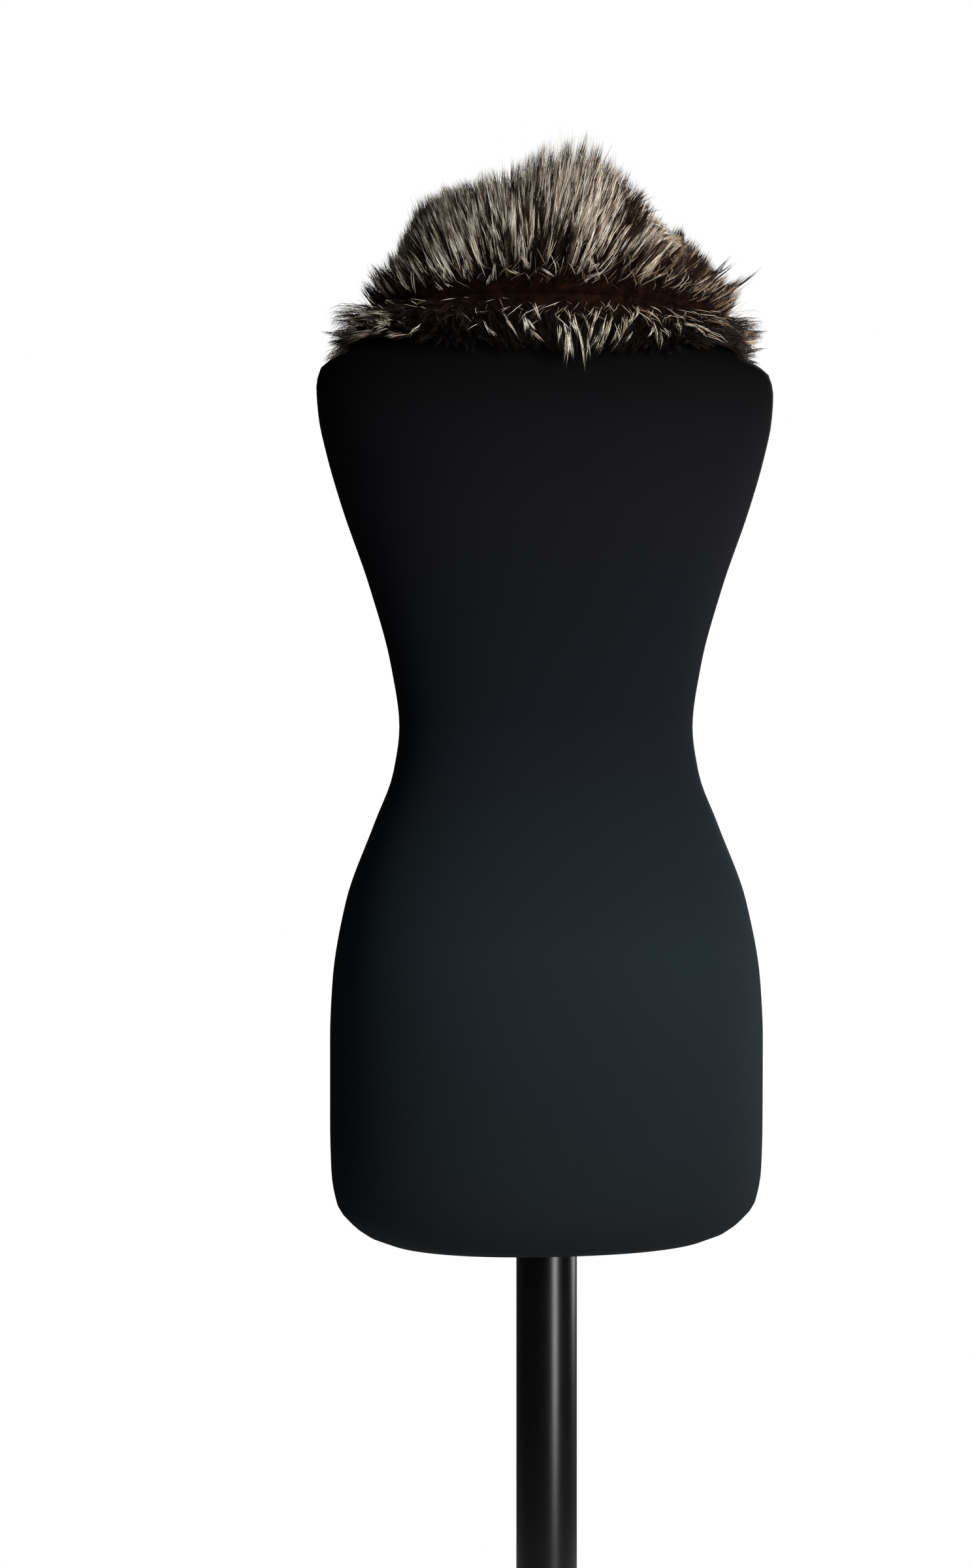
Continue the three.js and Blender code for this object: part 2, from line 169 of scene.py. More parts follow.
class Material:
    """A material around one Principled shader. `node` makes any node: its settings first, then the
    values or links of its sockets, by place or by name."""

    def __init__(self, name, **shader):
        self.material = bpy.data.materials.new(name)
        self.material.use_nodes = True
        self.tree = self.material.node_tree
        self.shader = self.tree.nodes["Principled BSDF"]
        for socket, value in shader.items():
            label = SOCKETS.get(socket, socket.replace("_", " ").title())
            self.shader.inputs[label].default_value = value

    def node(self, kind, settings=None, sockets=(), output=0):
        made = self.tree.nodes.new(kind)
        for key, value in (settings or {}).items():
            if key == "ramp":
                self.fill_ramp(made, value)
            else:
                setattr(made, key, value)
        pairs = sockets.items() if isinstance(sockets, dict) else enumerate(sockets)
        for key, value in pairs:
            self.put(made.inputs[key], value)
        return Value(self, made.outputs[output])

    def fill_ramp(self, made, stops):
        ramp = made.color_ramp
        for place, colour in stops[2:]:
            ramp.elements.new(place)
        for element, (place, colour) in zip(ramp.elements, stops):
            element.position = place
            element.color = (*colour, 1)

    def put(self, socket, value):
        if isinstance(value, Value):
            self.tree.links.new(value.socket, socket)
        else:
            socket.default_value = value

    def output(self, value, name):
        """Another output of the node that a value comes from."""
        return Value(self, value.socket.node.outputs[name])

    def mix(self, share, a, b):
        return self.node("ShaderNodeMix", {"data_type": "RGBA"}, {0: share, 6: a, 7: b}, output=2)

    def smooth(self, value, start, stop):
        """0 below start, 1 above stop, and a smooth step between them."""
        return self.node("ShaderNodeMapRange", {"interpolation_type": "SMOOTHSTEP"},
                         {0: value, 1: start, 2: stop, 3: 0.0, 4: 1.0})

    def place(self):
        return self.output(self.node("ShaderNodeTexCoord"), "Object")

    def axes(self, vector):
        """The three parts of a vector, each as a value."""
        parts = self.node("ShaderNodeSeparateXYZ", {}, [vector])
        return [self.output(parts, axis) for axis in "XYZ"]

    def noise(self, scale, detail, roughness=0.5, distortion=0.0):
        """Cloudy noise from 0 to 1 over the piece's own coordinates."""
        return self.output(self.node("ShaderNodeTexNoise", {}, {
            "Vector": self.place(), "Scale": scale, "Detail": detail,
            "Roughness": roughness, "Distortion": distortion}), "Fac")

    def ramp(self, value, stops):
        """A colour that changes with a value, from (value, colour) pairs."""
        return self.node("ShaderNodeValToRGB", {"ramp": stops}, [value])

    def bump(self, height, strength, distance):
        self.put(self.shader.inputs["Normal"], self.node(
            "ShaderNodeBump", {}, {"Height": height, "Strength": strength, "Distance": distance}))

    def colour(self, value):
        self.put(self.shader.inputs["Base Color"], value)

    def tell(self):
        print(f"{self.material.name}: {len(self.tree.nodes)} nodes")

# %% [markdown]
# ## The studio
#
# The object stands on a plain pale floor in front of white. The key light comes from the right of
# the picture, as the highlight on the pole shows, and a weaker one behind the camera opens its
# shadows. A low one draws the long highlight on the pole, one far to the right edges the form, and
# one beyond the object lights the side that the picture doesn't show. The world is white to the
# camera but dim as a light, or the black jersey would turn grey.

# %% Floor, world and lights
FLOOR_RADIUS = 1050.0
FLOOR_SIDES = 96
FLOOR_GREY = (0.82, 0.82, 0.82, 1)
WORLD_SEEN = 1.0
WORLD_LIGHT = 0.07
FUR_LEVEL = 1250.0
POLE_LEVEL = 600.0
# place, width and height, watts, and the level on the form's axis that the light is turned to
LIGHTS = {
    "key": ((-1400, 1650, 2000), (700, 700), 74, FUR_LEVEL),
    "front": ((-250, 2600, 1900), (1200, 1200), 24, FUR_LEVEL),
    "far_side": ((-700, -2200, 2100), (1400, 1400), 60, FUR_LEVEL),
    "tall": ((-900, 2100, 420), (560, 900), 42, POLE_LEVEL),
    "side": ((-2100, -900, 700), (900, 1000), 22, POLE_LEVEL),
}

bpy.context.scene.view_settings.view_transform = "Standard"
world = bpy.data.worlds.new("studio")
bpy.context.scene.world = world
world.use_nodes = True
background = world.node_tree.nodes["Background"]
background.inputs["Color"].default_value = (1, 1, 1, 1)
ray = world.node_tree.nodes.new("ShaderNodeLightPath")
strength = world.node_tree.nodes.new("ShaderNodeMapRange")
strength.inputs["To Min"].default_value = WORLD_LIGHT
strength.inputs["To Max"].default_value = WORLD_SEEN
world.node_tree.links.new(ray.outputs["Is Camera Ray"], strength.inputs["Value"])
world.node_tree.links.new(strength.outputs["Result"], background.inputs["Strength"])


def soft_light(name, place, size, power, level):
    """An area light at a place in millimetres, turned to a level on the form's axis."""
    data = bpy.data.lights.new(name, "AREA")
    data.shape = "RECTANGLE"
    data.size, data.size_y = size[0] * MM, size[1] * MM
    data.energy = power
    light = bpy.data.objects.new(name, data)
    bpy.context.scene.collection.objects.link(light)
    light.location = [v * MM for v in place]
    away = Vector(place) - Vector((0, 0, level))
    light.rotation_euler = away.to_track_quat("Z", "Y").to_euler()


for light_name, settings in LIGHTS.items():
    soft_light(light_name, *settings)

floor_angle = np.linspace(0, 2 * np.pi, FLOOR_SIDES, endpoint=False)
floor_ring = np.stack([np.cos(floor_angle), np.sin(floor_angle), 0 * floor_angle], 1) * FLOOR_RADIUS
floor_mesh = bpy.data.meshes.new("floor")
floor_mesh.from_pydata((floor_ring * MM).tolist(), [], [list(range(FLOOR_SIDES))])
floor = bpy.data.objects.new("floor", floor_mesh)
bpy.context.scene.collection.objects.link(floor)
floor_paint = Material("floor_paint", roughness=0.9)
floor_paint.colour(FLOOR_GREY)
floor_mesh.materials.append(floor_paint.material)
print(len(LIGHTS), "lights round a floor", 2 * FLOOR_RADIUS, "mm wide")

# %% [markdown]
# ## The dress form
#
# The form is a padded torso with a neck and no limbs. Its half width and its depth in front and
# behind are given at a few heights, a smooth curve runs through each column, and every level
# section is a superellipse, a rounded box between an ellipse and a rectangle. The fur rests on
# this same shape, so its formula is kept as functions.

# %% The form's sizes
FORM_BOTTOM = 680.0
FORM_ROUNDNESS = 2.25
# height above the underside, half width, depth in front, depth behind
FORM_RINGS = np.array([
    [0, 112, 66, 68], [3, 138, 84, 87], [9, 153, 95, 98], [19, 166, 102, 106], [32, 176, 108, 113],
    [60, 181, 111, 119], [100, 182, 112, 122], [170, 182, 112, 126], [217, 180, 108, 122],
    [283, 169, 100, 102], [349, 145, 94, 78], [392, 129, 90, 68], [430, 124, 87, 64],
    [481, 131, 88, 66], [547, 149, 92, 76], [613, 172, 96, 88], [657, 185, 88, 92],
    [690, 192, 78, 88], [712, 193.5, 68, 82], [727, 190, 62, 78], [737, 175, 56, 74],
    [746, 155, 50, 70], [757, 131, 46, 66], [767, 110, 44, 62], [780, 85, 44, 57],
    [795, 68, 47, 54], [815, 61, 52, 50], [835, 58, 56, 46], [848, 57, 58, 44], [852, 52, 53, 39],
], dtype=float)
BUST = SimpleNamespace(x=82.0, h=602.0, out=28.0, wide=52.0, high=56.0)


def smooth_column(knots, values):
    """Cubic pieces whose slope at each knot is the harmonic mean of its neighbours', so the curve
    never swings past a value."""
    rises = np.diff(values) / np.diff(knots)
    before = np.concatenate([rises[:1], rises])
    after = np.concatenate([rises, rises[-1:]])
    alike = before * after > 0
    slopes = np.where(alike, 2 * before * after / np.where(alike, before + after, 1), 0)

    def curve(at):
        i = np.clip(np.searchsorted(knots, at) - 1, 0, len(knots) - 2)
        span = knots[i + 1] - knots[i]
        t = np.clip((at - knots[i]) / span, 0, 1)
        start_bend = t * (1 - t) ** 2 * span * slopes[i]
        end_bend = t * t * (1 - t) * span * slopes[i + 1]
        return values[i] + (values[i + 1] - values[i]) * t * t * (3 - 2 * t) + start_bend - end_bend
    return curve


form_half, form_front, form_back = (
    smooth_column(FORM_RINGS[:, 0], FORM_RINGS[:, column]) for column in (1, 2, 3))


def bust_out(x, h):
    """Two low mounds: their height falls off as exp(-distance squared) from each middle."""
    across = (np.abs(x) - BUST.x) / BUST.wide
    return BUST.out * np.exp(-across ** 2 - ((h - BUST.h) / BUST.high) ** 2)


def form_field(p):
    """Below 0 inside the form and above 0 outside: (|x/half|^n + |y/depth|^n)^(1/n) - 1."""
    x, y, h = p[..., 0], p[..., 1], p[..., 2] - FORM_BOTTOM
    y = np.where(y < 0, np.minimum(0, y + bust_out(x, h)), y)
    depth = np.where(y < 0, form_front(h), form_back(h))
    total = (np.abs(x) / form_half(h)) ** FORM_ROUNDNESS + (np.abs(y) / depth) ** FORM_ROUNDNESS
    return total ** (1 / FORM_ROUNDNESS) - 1

print(f"the form is {2 * FORM_RINGS[:, 1].max():.0f} mm wide and {FORM_RINGS[-1, 0]:.0f} mm tall")

# %% [markdown]
# The cover is knitted jersey, near black and matt. Painted light makes it a little lighter and
# cooler over the hips, and painted shade makes it darker up towards the fur, which shades it. A knit
# is rows of small V shapes. Drawn as geometry it would be millions of faces, so it is bump, worked
# out from the angle round the form's axis and the height above the floor.

# %% Jersey
WALES_AROUND = 760
STITCH_HEIGHT = 1.0
JERSEY_TOP = 1.6
# height above the floor, as a share of JERSEY_TOP in metres, and the cloth's colour there: near
# black, with painted light and sheen over the hips and painted shade from the fur towards the top
JERSEY_BLACKS_LIT_AND_SHADED = [
    (0.42, (0.0056, 0.0070, 0.0083)),
    (0.58, (0.0069, 0.0106, 0.0124)),
    (0.70, (0.0036, 0.0044, 0.0061)),
    (0.80, (0.0034, 0.0035, 0.0048)),
    (0.845, (0.0022, 0.0022, 0.0028)),
    (0.872, (0.0008, 0.0008, 0.0009)),
    (0.89, (0.0001, 0.0001, 0.0001)),
]
WORN_SHARE = 0.2
WORN_BLACK = (0.0024, 0.0026, 0.0032, 1)

jersey = Material("black_jersey", roughness=0.8, specular=0.03)
across, back, height = jersey.axes(jersey.place())
wale = back.math("ARCTAN2", across) * (WALES_AROUND / (2 * np.pi))
course = height / (STITCH_HEIGHT * MM)
leg = (wale * 2).math("PINGPONG", 1.0)
stitch = (course + leg * 0.5).math("FRACT").math("PINGPONG", 0.5)
# painted light: lighter and cooler over the hips; painted shade: darker up towards the fur
jersey_painted_light_and_shade = jersey.ramp(height / JERSEY_TOP, JERSEY_BLACKS_LIT_AND_SHADED)
jersey.colour(jersey.mix(jersey.noise(7.0, 4.0) * WORN_SHARE, jersey_painted_light_and_shade, WORN_BLACK))
jersey.bump(leg * 0.5 + stitch, 0.35, 0.0004)
jersey.tell()

# %% The form's cover, from the neck's cap to the socket for the pole
FORM_SIDES = 88
FORM_ANGLES = np.linspace(0, 2 * np.pi, FORM_SIDES, endpoint=False)
RING_SPACING = 9.0
POLE_RADIUS = 25.5
SEAT_GAP = 0.3
SOCKET_RADIUS = POLE_RADIUS + SEAT_GAP
SOCKET_DEPTH = 90.0
CAP_SHRINKS = (0.35, 0.7, 0.92)
CAP_RISE = 2.5


def squared_off(value):
    """A cosine or sine to the power 2/n, with its sign kept, for a superellipse."""
    return np.sign(value) * np.abs(value) ** (2 / FORM_ROUNDNESS)


def form_ring(h):
    """One level section at height h: x = half cos^(2/n), y = depth sin^(2/n), less the bust."""
    x, side = form_half(h) * squared_off(np.cos(FORM_ANGLES)), squared_off(np.sin(FORM_ANGLES))
    ahead = form_front(h) * side - bust_out(x, h) * np.minimum(1, -2 * side)
    return np.stack([x, np.where(side < 0, ahead, form_back(h) * side), FORM_BOTTOM + h + 0 * x], 1)


def round_ring(radius, h):
    """A circle round the pole's axis, with as many points as the form's sections."""
    x, y = radius * np.cos(FORM_ANGLES), radius * np.sin(FORM_ANGLES)
    return np.stack([x, y, FORM_BOTTOM + h + 0 * x], 1)


heights = np.concatenate([
    np.linspace(low, high, max(1, int(np.ceil((high - low) / RING_SPACING))), endpoint=False)
    for low, high in zip(FORM_RINGS[:-1, 0], FORM_RINGS[1:, 0])] + [FORM_RINGS[-1:, 0]])
skin_rings = [form_ring(h) for h in heights[::-1]]
neck_rim = skin_rings[0]
neck_middle = neck_rim.mean(0)
cap_rings = [neck_middle + (neck_rim - neck_middle) * share + [0, 0, CAP_RISE * (1 - share ** 2)]
             for share in CAP_SHRINKS]
socket_rings = [round_ring(SOCKET_RADIUS, h) for h in (0, SOCKET_DEPTH)]
rings = np.array(cap_rings + skin_rings + socket_rings)
count = len(rings)
points = np.concatenate([rings.reshape(-1, 3), [neck_middle + [0, 0, CAP_RISE]],
                         [[0, 0, FORM_BOTTOM + SOCKET_DEPTH]]])
first_ring = np.arange(FORM_SIDES)
last_ring = first_ring + (count - 1) * FORM_SIDES
form_cover = make_piece(
    "form_cover", points,
    [grid_faces(count, FORM_SIDES, wrap=True)[:, ::-1], fan_faces(len(points) - 2, first_ring),
     fan_faces(len(points) - 1, last_ring, flip=True)],
    jersey.material)
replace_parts(form_cover, "form_torso")

# %% [markdown]
# ## The pole and the foot
#
# Only a stretch of the pole shows in the picture: black satin lacquer with one long soft
# highlight. The foot is out of the picture and is finished plainly. Both are turned shapes, a
# profile carried round the axis.

# %% Lacquer
LACQUER_BLACK = (0.0003, 0.0003, 0.0003, 1)
LACQUER_SMUDGED = (0.0007, 0.0007, 0.0008, 1)

lacquer = Material("satin_black", roughness=0.3, specular=0.24)
smudge = lacquer.noise(22.0, 5.0)
lacquer.colour(lacquer.mix(smudge, LACQUER_BLACK, LACQUER_SMUDGED))
lacquer.put(lacquer.shader.inputs["Roughness"], 0.27 + smudge * 0.06)
lacquer.bump(lacquer.noise(900.0, 2.0), 0.08, 0.0002)
lacquer.tell()

# %% Turn the pole and the foot
TURNED_SIDES = 96
BASE_RADIUS = 190.0
BASE_TOP = 12.0
BASE_EDGE = 3.0
UNDERSIDE_INSET = 2.0
HUB_RADIUS = 35.0
HUB_TOP = 46.0
HUB_EDGE = 2.0
POLE_EDGE = 1.0
# the plate's slope, as distances in from its rim and heights above the floor
PLATE_SLOPE = ((8.0, 7.6), (BASE_RADIUS / 2, 11.5))
# the sweep up to the hub, as distances outside the hub and heights above the plate
HUB_SWEEP = ((25.0, 3.0), (12.0, 6.0), (5.0, 11.0), (0.0, 18.0))


def turned(name, profile, node):
    """A closed surface of revolution: the profile's (radius, height) pairs carried round the axis.
    It starts and ends on the axis, where fans of triangles close it."""
    angle = np.linspace(0, 2 * np.pi, TURNED_SIDES, endpoint=False)
    profile = np.array(profile, dtype=float)
    radius, height = profile[1:-1, :1], profile[1:-1, 1:]
    body = np.stack(np.broadcast_arrays(
        radius * np.cos(angle), radius * np.sin(angle), height + 0 * angle), -1).reshape(-1, 3)
    points = np.concatenate([body, [[0, 0, profile[0, 1]]], [[0, 0, profile[-1, 1]]]])
    ring = np.arange(TURNED_SIDES)
    rows = len(profile) - 2
    piece = make_piece(name, points, [
        grid_faces(rows, TURNED_SIDES, wrap=True), fan_faces(len(body), ring, flip=True),
        fan_faces(len(body) + 1, ring + (rows - 1) * TURNED_SIDES)], lacquer.material)
    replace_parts(piece, node)
    return piece


def rounded(corner, radius, start, stop, steps=6):
    """An arc of a profile about a corner's centre, between two angles in degrees."""
    angle = np.radians(np.linspace(start, stop, steps))
    x, y = corner[0] + radius * np.cos(angle), corner[1] + radius * np.sin(angle)
    return list(zip(x, y))


foot_profile = [
    (0, 0), (BASE_RADIUS - UNDERSIDE_INSET, 0),
    *rounded((BASE_RADIUS - BASE_EDGE, BASE_EDGE), BASE_EDGE, -60, 60),
    *((BASE_RADIUS - inside, height) for inside, height in PLATE_SLOPE),
    *((HUB_RADIUS + outside, BASE_TOP + above) for outside, above in HUB_SWEEP),
    *rounded((HUB_RADIUS - HUB_EDGE, HUB_TOP - HUB_EDGE), HUB_EDGE, 0, 90),
    (SOCKET_RADIUS, HUB_TOP), (SOCKET_RADIUS, BASE_TOP), (0, BASE_TOP)]
pole_foot = BASE_TOP + SEAT_GAP
pole_head = FORM_BOTTOM + SOCKET_DEPTH - SEAT_GAP
pole_flat = POLE_RADIUS - POLE_EDGE
pole_profile = [
    (0, pole_foot), (pole_flat, pole_foot),
    *rounded((pole_flat, pole_foot + POLE_EDGE), POLE_EDGE, -80, 0),
    *rounded((pole_flat, pole_head - POLE_EDGE), POLE_EDGE, 0, 80),
    (pole_flat, pole_head), (0, pole_head)]
foot_plate = turned("foot_plate", foot_profile, "base")
pole_tube = turned("pole_tube", pole_profile, "pole")

# %% [markdown]
# ## The strip of pelt
#
# The collar is one strip, and its rows are places along it, from the wearer's right front end
# round the back of the neck to the left front end. Each row gives the parting's place, the way
# across the strip, the width of pelt above and below the parting, and how deep the fur is.
# A curve through each column gives the strip at any length along it.

# %% The strip's sizes
# the parting's place; the way across the strip; the pelt's width above and below the parting; how
# deep the fur is above it, below it and at it; how far the fur reaches past the pelt's upper and
# lower edge; and how closely, from 0 to 1, the upper and the lower half lie on the form
COLLAR_COLUMNS = ("x", "y", "h", "wx", "wy", "wz", "stand", "fall", "up", "down", "part", "over",
                  "hang", "lie", "rest")
COLLAR_ROWS = np.array([
    [-100, -128, 568, 0.99, 0.00, -0.12, 50, 52, 33, 32, 25, 24, 30, 1, 1],
    [-92, -122, 612, 0.99, -0.10, -0.03, 53, 55, 34, 33, 26, 20, 34, 1, 1],
    [-90, -98, 653, 0.99, -0.10, 0.10, 55, 55, 35, 34, 26, 17, 34, 1, 1],
    [-98, -82, 690, 0.95, -0.10, 0.28, 58, 52, 36, 34, 27, 17, 32, 1, 1],
    [-117, -62, 720, 0.86, -0.12, 0.50, 60, 43, 37, 34, 28, 21, 22, 0.8, 1],
    [-137, -32, 748, 0.62, -0.04, 0.78, 60, 34, 41, 34, 32, 26, 10, 0.45, 0.95],
    [-136, 8, 764, 0.38, 0.00, 0.91, 58, 30, 46, 34, 33, 18, 7, 0.15, 0.85],
    [-112, 36, 770, 0.26, 0.03, 0.95, 54, 31, 45, 32, 30, 12, 10, 0.05, 0.65],
    [-78, 60, 774, 0.11, 0.08, 0.98, 50, 32, 43, 27, 22, 6, 12, 0, 0.32],
    [-42, 76, 776, 0.03, 0.12, 0.99, 69, 32, 42, 25, 19, 25, 12, 0, 0.12],
    [0, 82, 776, 0.00, 0.15, 0.99, 76, 32, 42, 24, 17, 41, 10, 0, 0],
    [44, 75, 776, -0.12, 0.12, 0.98, 69, 32, 42, 25, 19, 27, 12, 0, 0.12],
    [78, 60, 774, -0.26, 0.07, 0.96, 69, 32, 43, 27, 22, 21, 12, 0, 0.32],
    [106, 41, 771, -0.41, 0.03, 0.91, 71, 32, 44, 30, 28, 20, 11, 0.02, 0.58],
    [132, 8, 765, -0.56, 0.00, 0.82, 76, 30, 45, 32, 33, 25, 7, 0.15, 0.85],
    [135, -32, 748, -0.72, -0.04, 0.69, 72, 34, 42, 34, 32, 25, 10, 0.45, 0.95],
    [116, -62, 720, -0.88, -0.12, 0.47, 64, 43, 37, 34, 28, 21, 22, 0.8, 1],
    [100, -82, 690, -0.95, -0.10, 0.28, 59, 52, 36, 34, 27, 17, 32, 1, 1],
    [94, -98, 653, -0.99, -0.10, 0.10, 56, 58, 35, 34, 26, 17, 38, 1, 1],
    [102, -122, 612, -0.99, -0.10, -0.06, 54, 60, 34, 33, 26, 20, 42, 1, 1],
    [117, -128, 569, -0.98, 0.00, -0.16, 51, 54, 33, 32, 25, 24, 36, 1, 1],
], dtype=float)
LAST_ROW = (len(COLLAR_ROWS) - 1) / 2
SHOULDER_SEAM_ROW = 4.35
SHOULDER_SEAM_GAP = 0.5
SEAM_GAP = 0.3
FORM_GAP = 1.5
SETTLE_ROUNDS = 6
CHEST_LEVELLING = 0.7
PARTING_WIDTH = 15.0
PARTING_BEND = 35.0
TIP_DEPTH = 0.3
DOME_POWER = 2.6
END_ROUNDING = 62.0
END_WIDTH = 0.12
END_DEPTH = 0.3
LOCK_WIDTH = 18.0
LOCK_RELIEF = 5.0
LOCK_JAG = 15.0
LOCK_SLANT = 0.6
LOCK_MEAN = 0.4
LOCK_POWER = 0.8
LOCK_SCATTER = (12.9898, 43758.5453)
PLACE_STEP = 0.02


def collar_column(name, at):
    """A Catmull-Rom curve through one column: at 0 it is in the middle of the back."""
    values = COLLAR_ROWS[:, COLLAR_COLUMNS.index(name)]
    place = np.clip(at + LAST_ROW, 0, 2 * LAST_ROW - 1e-9)
    i = np.floor(place).astype(int)
    t = place - i
    a, b, c, d = (values[np.clip(i + k, 0, len(values) - 1)] for k in (-1, 0, 1, 2))
    return b + 0.5 * t * (c - a + t * (2 * a - 5 * b + 4 * c - d + t * (3 * (b - c) + d - a)))


def parting_point(at):
    """Where the hair parts, on the pelt's skin side."""
    return np.stack([collar_column("x", at), collar_column("y", at),
                     FORM_BOTTOM + collar_column("h", at)], -1)


places = np.arange(-LAST_ROW, LAST_ROW + PLACE_STEP / 2, PLACE_STEP)
steps_along = np.linalg.norm(np.diff(parting_point(places), axis=0), axis=1)
lengths = np.concatenate([[0], np.cumsum(steps_along)])
lengths -= np.interp(0, places, lengths)
RIGHT_END, LEFT_END = lengths[0], lengths[-1]
RIGHT_SEAM, LEFT_SEAM = np.interp([-SHOULDER_SEAM_ROW, SHOULDER_SEAM_ROW], places, lengths)
print(f"the parting is {LEFT_END - RIGHT_END:.0f} mm long, {LEFT_SEAM - RIGHT_SEAM:.0f} of it behind")

# %% [markdown]
# A section of the strip needs a frame: the way along it, the way across it and the way out.
# `settle` moves a point onto the form, by walking down the form's own gradient within the plane
# of the section, so the pelt lies on the shoulders and chest and stands free behind the neck.

# %% Frames along the strip
GRADIENT_STEP = 0.5


def unit(v):
    return v / np.linalg.norm(v, axis=-1, keepdims=True)


def dot(a, b):
    return (a * b).sum(-1, keepdims=True)


def form_gradient(p):
    """The slope of form_field by central differences, half a millimetre each way."""
    steps = np.eye(3) * GRADIENT_STEP
    return np.stack([form_field(p + step) - form_field(p - step) for step in steps], -1)


def settle(p, along, pull):
    """The point moved to FORM_GAP off the form, across `along`. One that is clear moves by `pull`."""
    for _ in range(SETTLE_ROUNDS):
        slope = form_gradient(p)
        short = FORM_GAP * np.linalg.norm(slope, axis=-1, keepdims=True) - form_field(p)[..., None]
        flat = slope - along * dot(slope, along)
        share = np.where(short > 0, 1, pull[..., None] / 2)
        p = p + flat * share * short / np.maximum(dot(flat, flat), 1e-9)
    return p


def strip_frame(s):
    """The strip at lengths s from the middle of the back, for arrays of any shape."""
    at = np.interp(s, lengths, places)
    lie, rest = (np.clip(collar_column(name, at), 0, 1) for name in ("lie", "rest"))
    along = parting_point(at + PLACE_STEP / 2) - parting_point(at - PLACE_STEP / 2)
    along[..., 1] *= 1 - CHEST_LEVELLING * lie
    along = unit(along)
    p = settle(parting_point(at), along, lie)
    free = np.stack([collar_column(name, at) for name in ("wx", "wy", "wz")], -1)
    free = unit(free - along * dot(free, along))
    lying = unit(np.cross(along, form_gradient(p)))
    across = [unit(free + (lying - free) * share[..., None]) for share in (lie, rest)]
    out = [unit(np.cross(way, along)) for way in across]
    to_end = np.clip(np.minimum(LEFT_END - s, s - RIGHT_END) / END_ROUNDING, 0, 1)
    swell = np.sqrt(1 - (1 - to_end) ** 2)
    return SimpleNamespace(
        s=s, at=at, p=p, along=along, across=across, out=out, close=(lie, rest),
        width=END_WIDTH + (1 - END_WIDTH) * swell, depth=END_DEPTH + (1 - END_DEPTH) * swell)


def turn_at(w):
    """How far the pelt has turned from the upper half's slope to the lower's: none above the
    parting, and 1 - exp(-(w / bend)^2) below it."""
    return np.where(w < 0, 1 - np.exp(-(w / PARTING_BEND) ** 2), 0)


def skin_point(strip, w):
    """The pelt's skin side, w across from the parting: above it is positive."""
    turn = turn_at(w)
    across = np.where(w[..., None] < 0, strip.across[1], strip.across[0])
    close = strip.close[0] + (strip.close[1] - strip.close[0]) * turn
    return settle(strip.p + across * w[..., None], strip.along, close)


def out_way(strip, w):
    """The way out of the pelt at w across it."""
    turn = turn_at(w)[..., None]
    return unit(strip.out[0] + (strip.out[1] - strip.out[0]) * turn)


def lock_height(s, fraction):
    """Ridges LOCK_WIDTH apart, from 0 between them to 1 on the strongest. A ridge's strength is
    scattered between a half and 1 by the last digits of a sine."""
    place = s / LOCK_WIDTH + LOCK_SLANT * fraction
    index = np.floor(place)
    strength = 0.5 + 0.5 * np.abs(np.fmod(np.sin(index * LOCK_SCATTER[0]) * LOCK_SCATTER[1], 1))
    return strength * (1 - np.abs(2 * (place - index) - 1)) ** LOCK_POWER


def pelt_width(strip, way):
    return strip.width * collar_column("stand" if way > 0 else "fall", strip.at)


def fur_reach(strip, way):
    return strip.width * collar_column("over" if way > 0 else "hang", strip.at)


def fur_depth(strip, way, f):
    """The fur's depth at a fraction f of the way from the parting to its rim, and the way across:
    depth = parting + (loft dome(f) + relief lock - parting)(1 - exp(-(w / width)^2))"""
    loft, parting = collar_column("up" if way > 0 else "down", strip.at), collar_column("part", strip.at)
    lock = lock_height(strip.s, way * f) - LOCK_MEAN
    w = f * (pelt_width(strip, way) + fur_reach(strip, way) + f * strip.width * LOCK_JAG * lock)
    rise = 1 - np.exp(-(w / PARTING_WIDTH) ** 2)
    dome = TIP_DEPTH + (1 - TIP_DEPTH) * np.sqrt(1 - np.clip(f, 0, 1) ** DOME_POWER)
    depth = parting + (loft * dome + LOCK_RELIEF * lock - parting) * rise
    return strip.depth * depth, w


middle = strip_frame(np.zeros(1))
middle_width = (pelt_width(middle, 1) + pelt_width(middle, -1))[0]
print(f"in the middle of the back the pelt is {middle_width:.0f} mm wide")

# %% [markdown]
# ## The skin side of the pelt
#
# Under the fur is leather about a millimetre and a half thick. It shows inside the collar, where
# it stands up behind the neck, and at the ends. It is a thin closed shell: one grid of points on
# the skin side, the same grid moved out, and a rim that joins them. There are four sheets, sewn
# at the shoulders and along the parting.

# %% Suede
SUEDE_DARK = (0.0050, 0.0028, 0.0020, 1)
SUEDE_PALE = (0.014, 0.0085, 0.0062, 1)

suede = Material("pelt_suede", roughness=0.92, specular=0.05)
nap = suede.noise(38.0, 6.0, roughness=0.65)
suede.colour(suede.mix(suede.smooth(nap, 0.3, 0.7), SUEDE_DARK, SUEDE_PALE))
suede.bump(suede.noise(1400.0, 3.0) + nap, 0.4, 0.0006)
suede.tell()

# %% Shells between two grids
PELT_THICKNESS = 1.6
STATION_SPACING = 4.0
LINES_BELOW = 9
LINES_ABOVE = 14


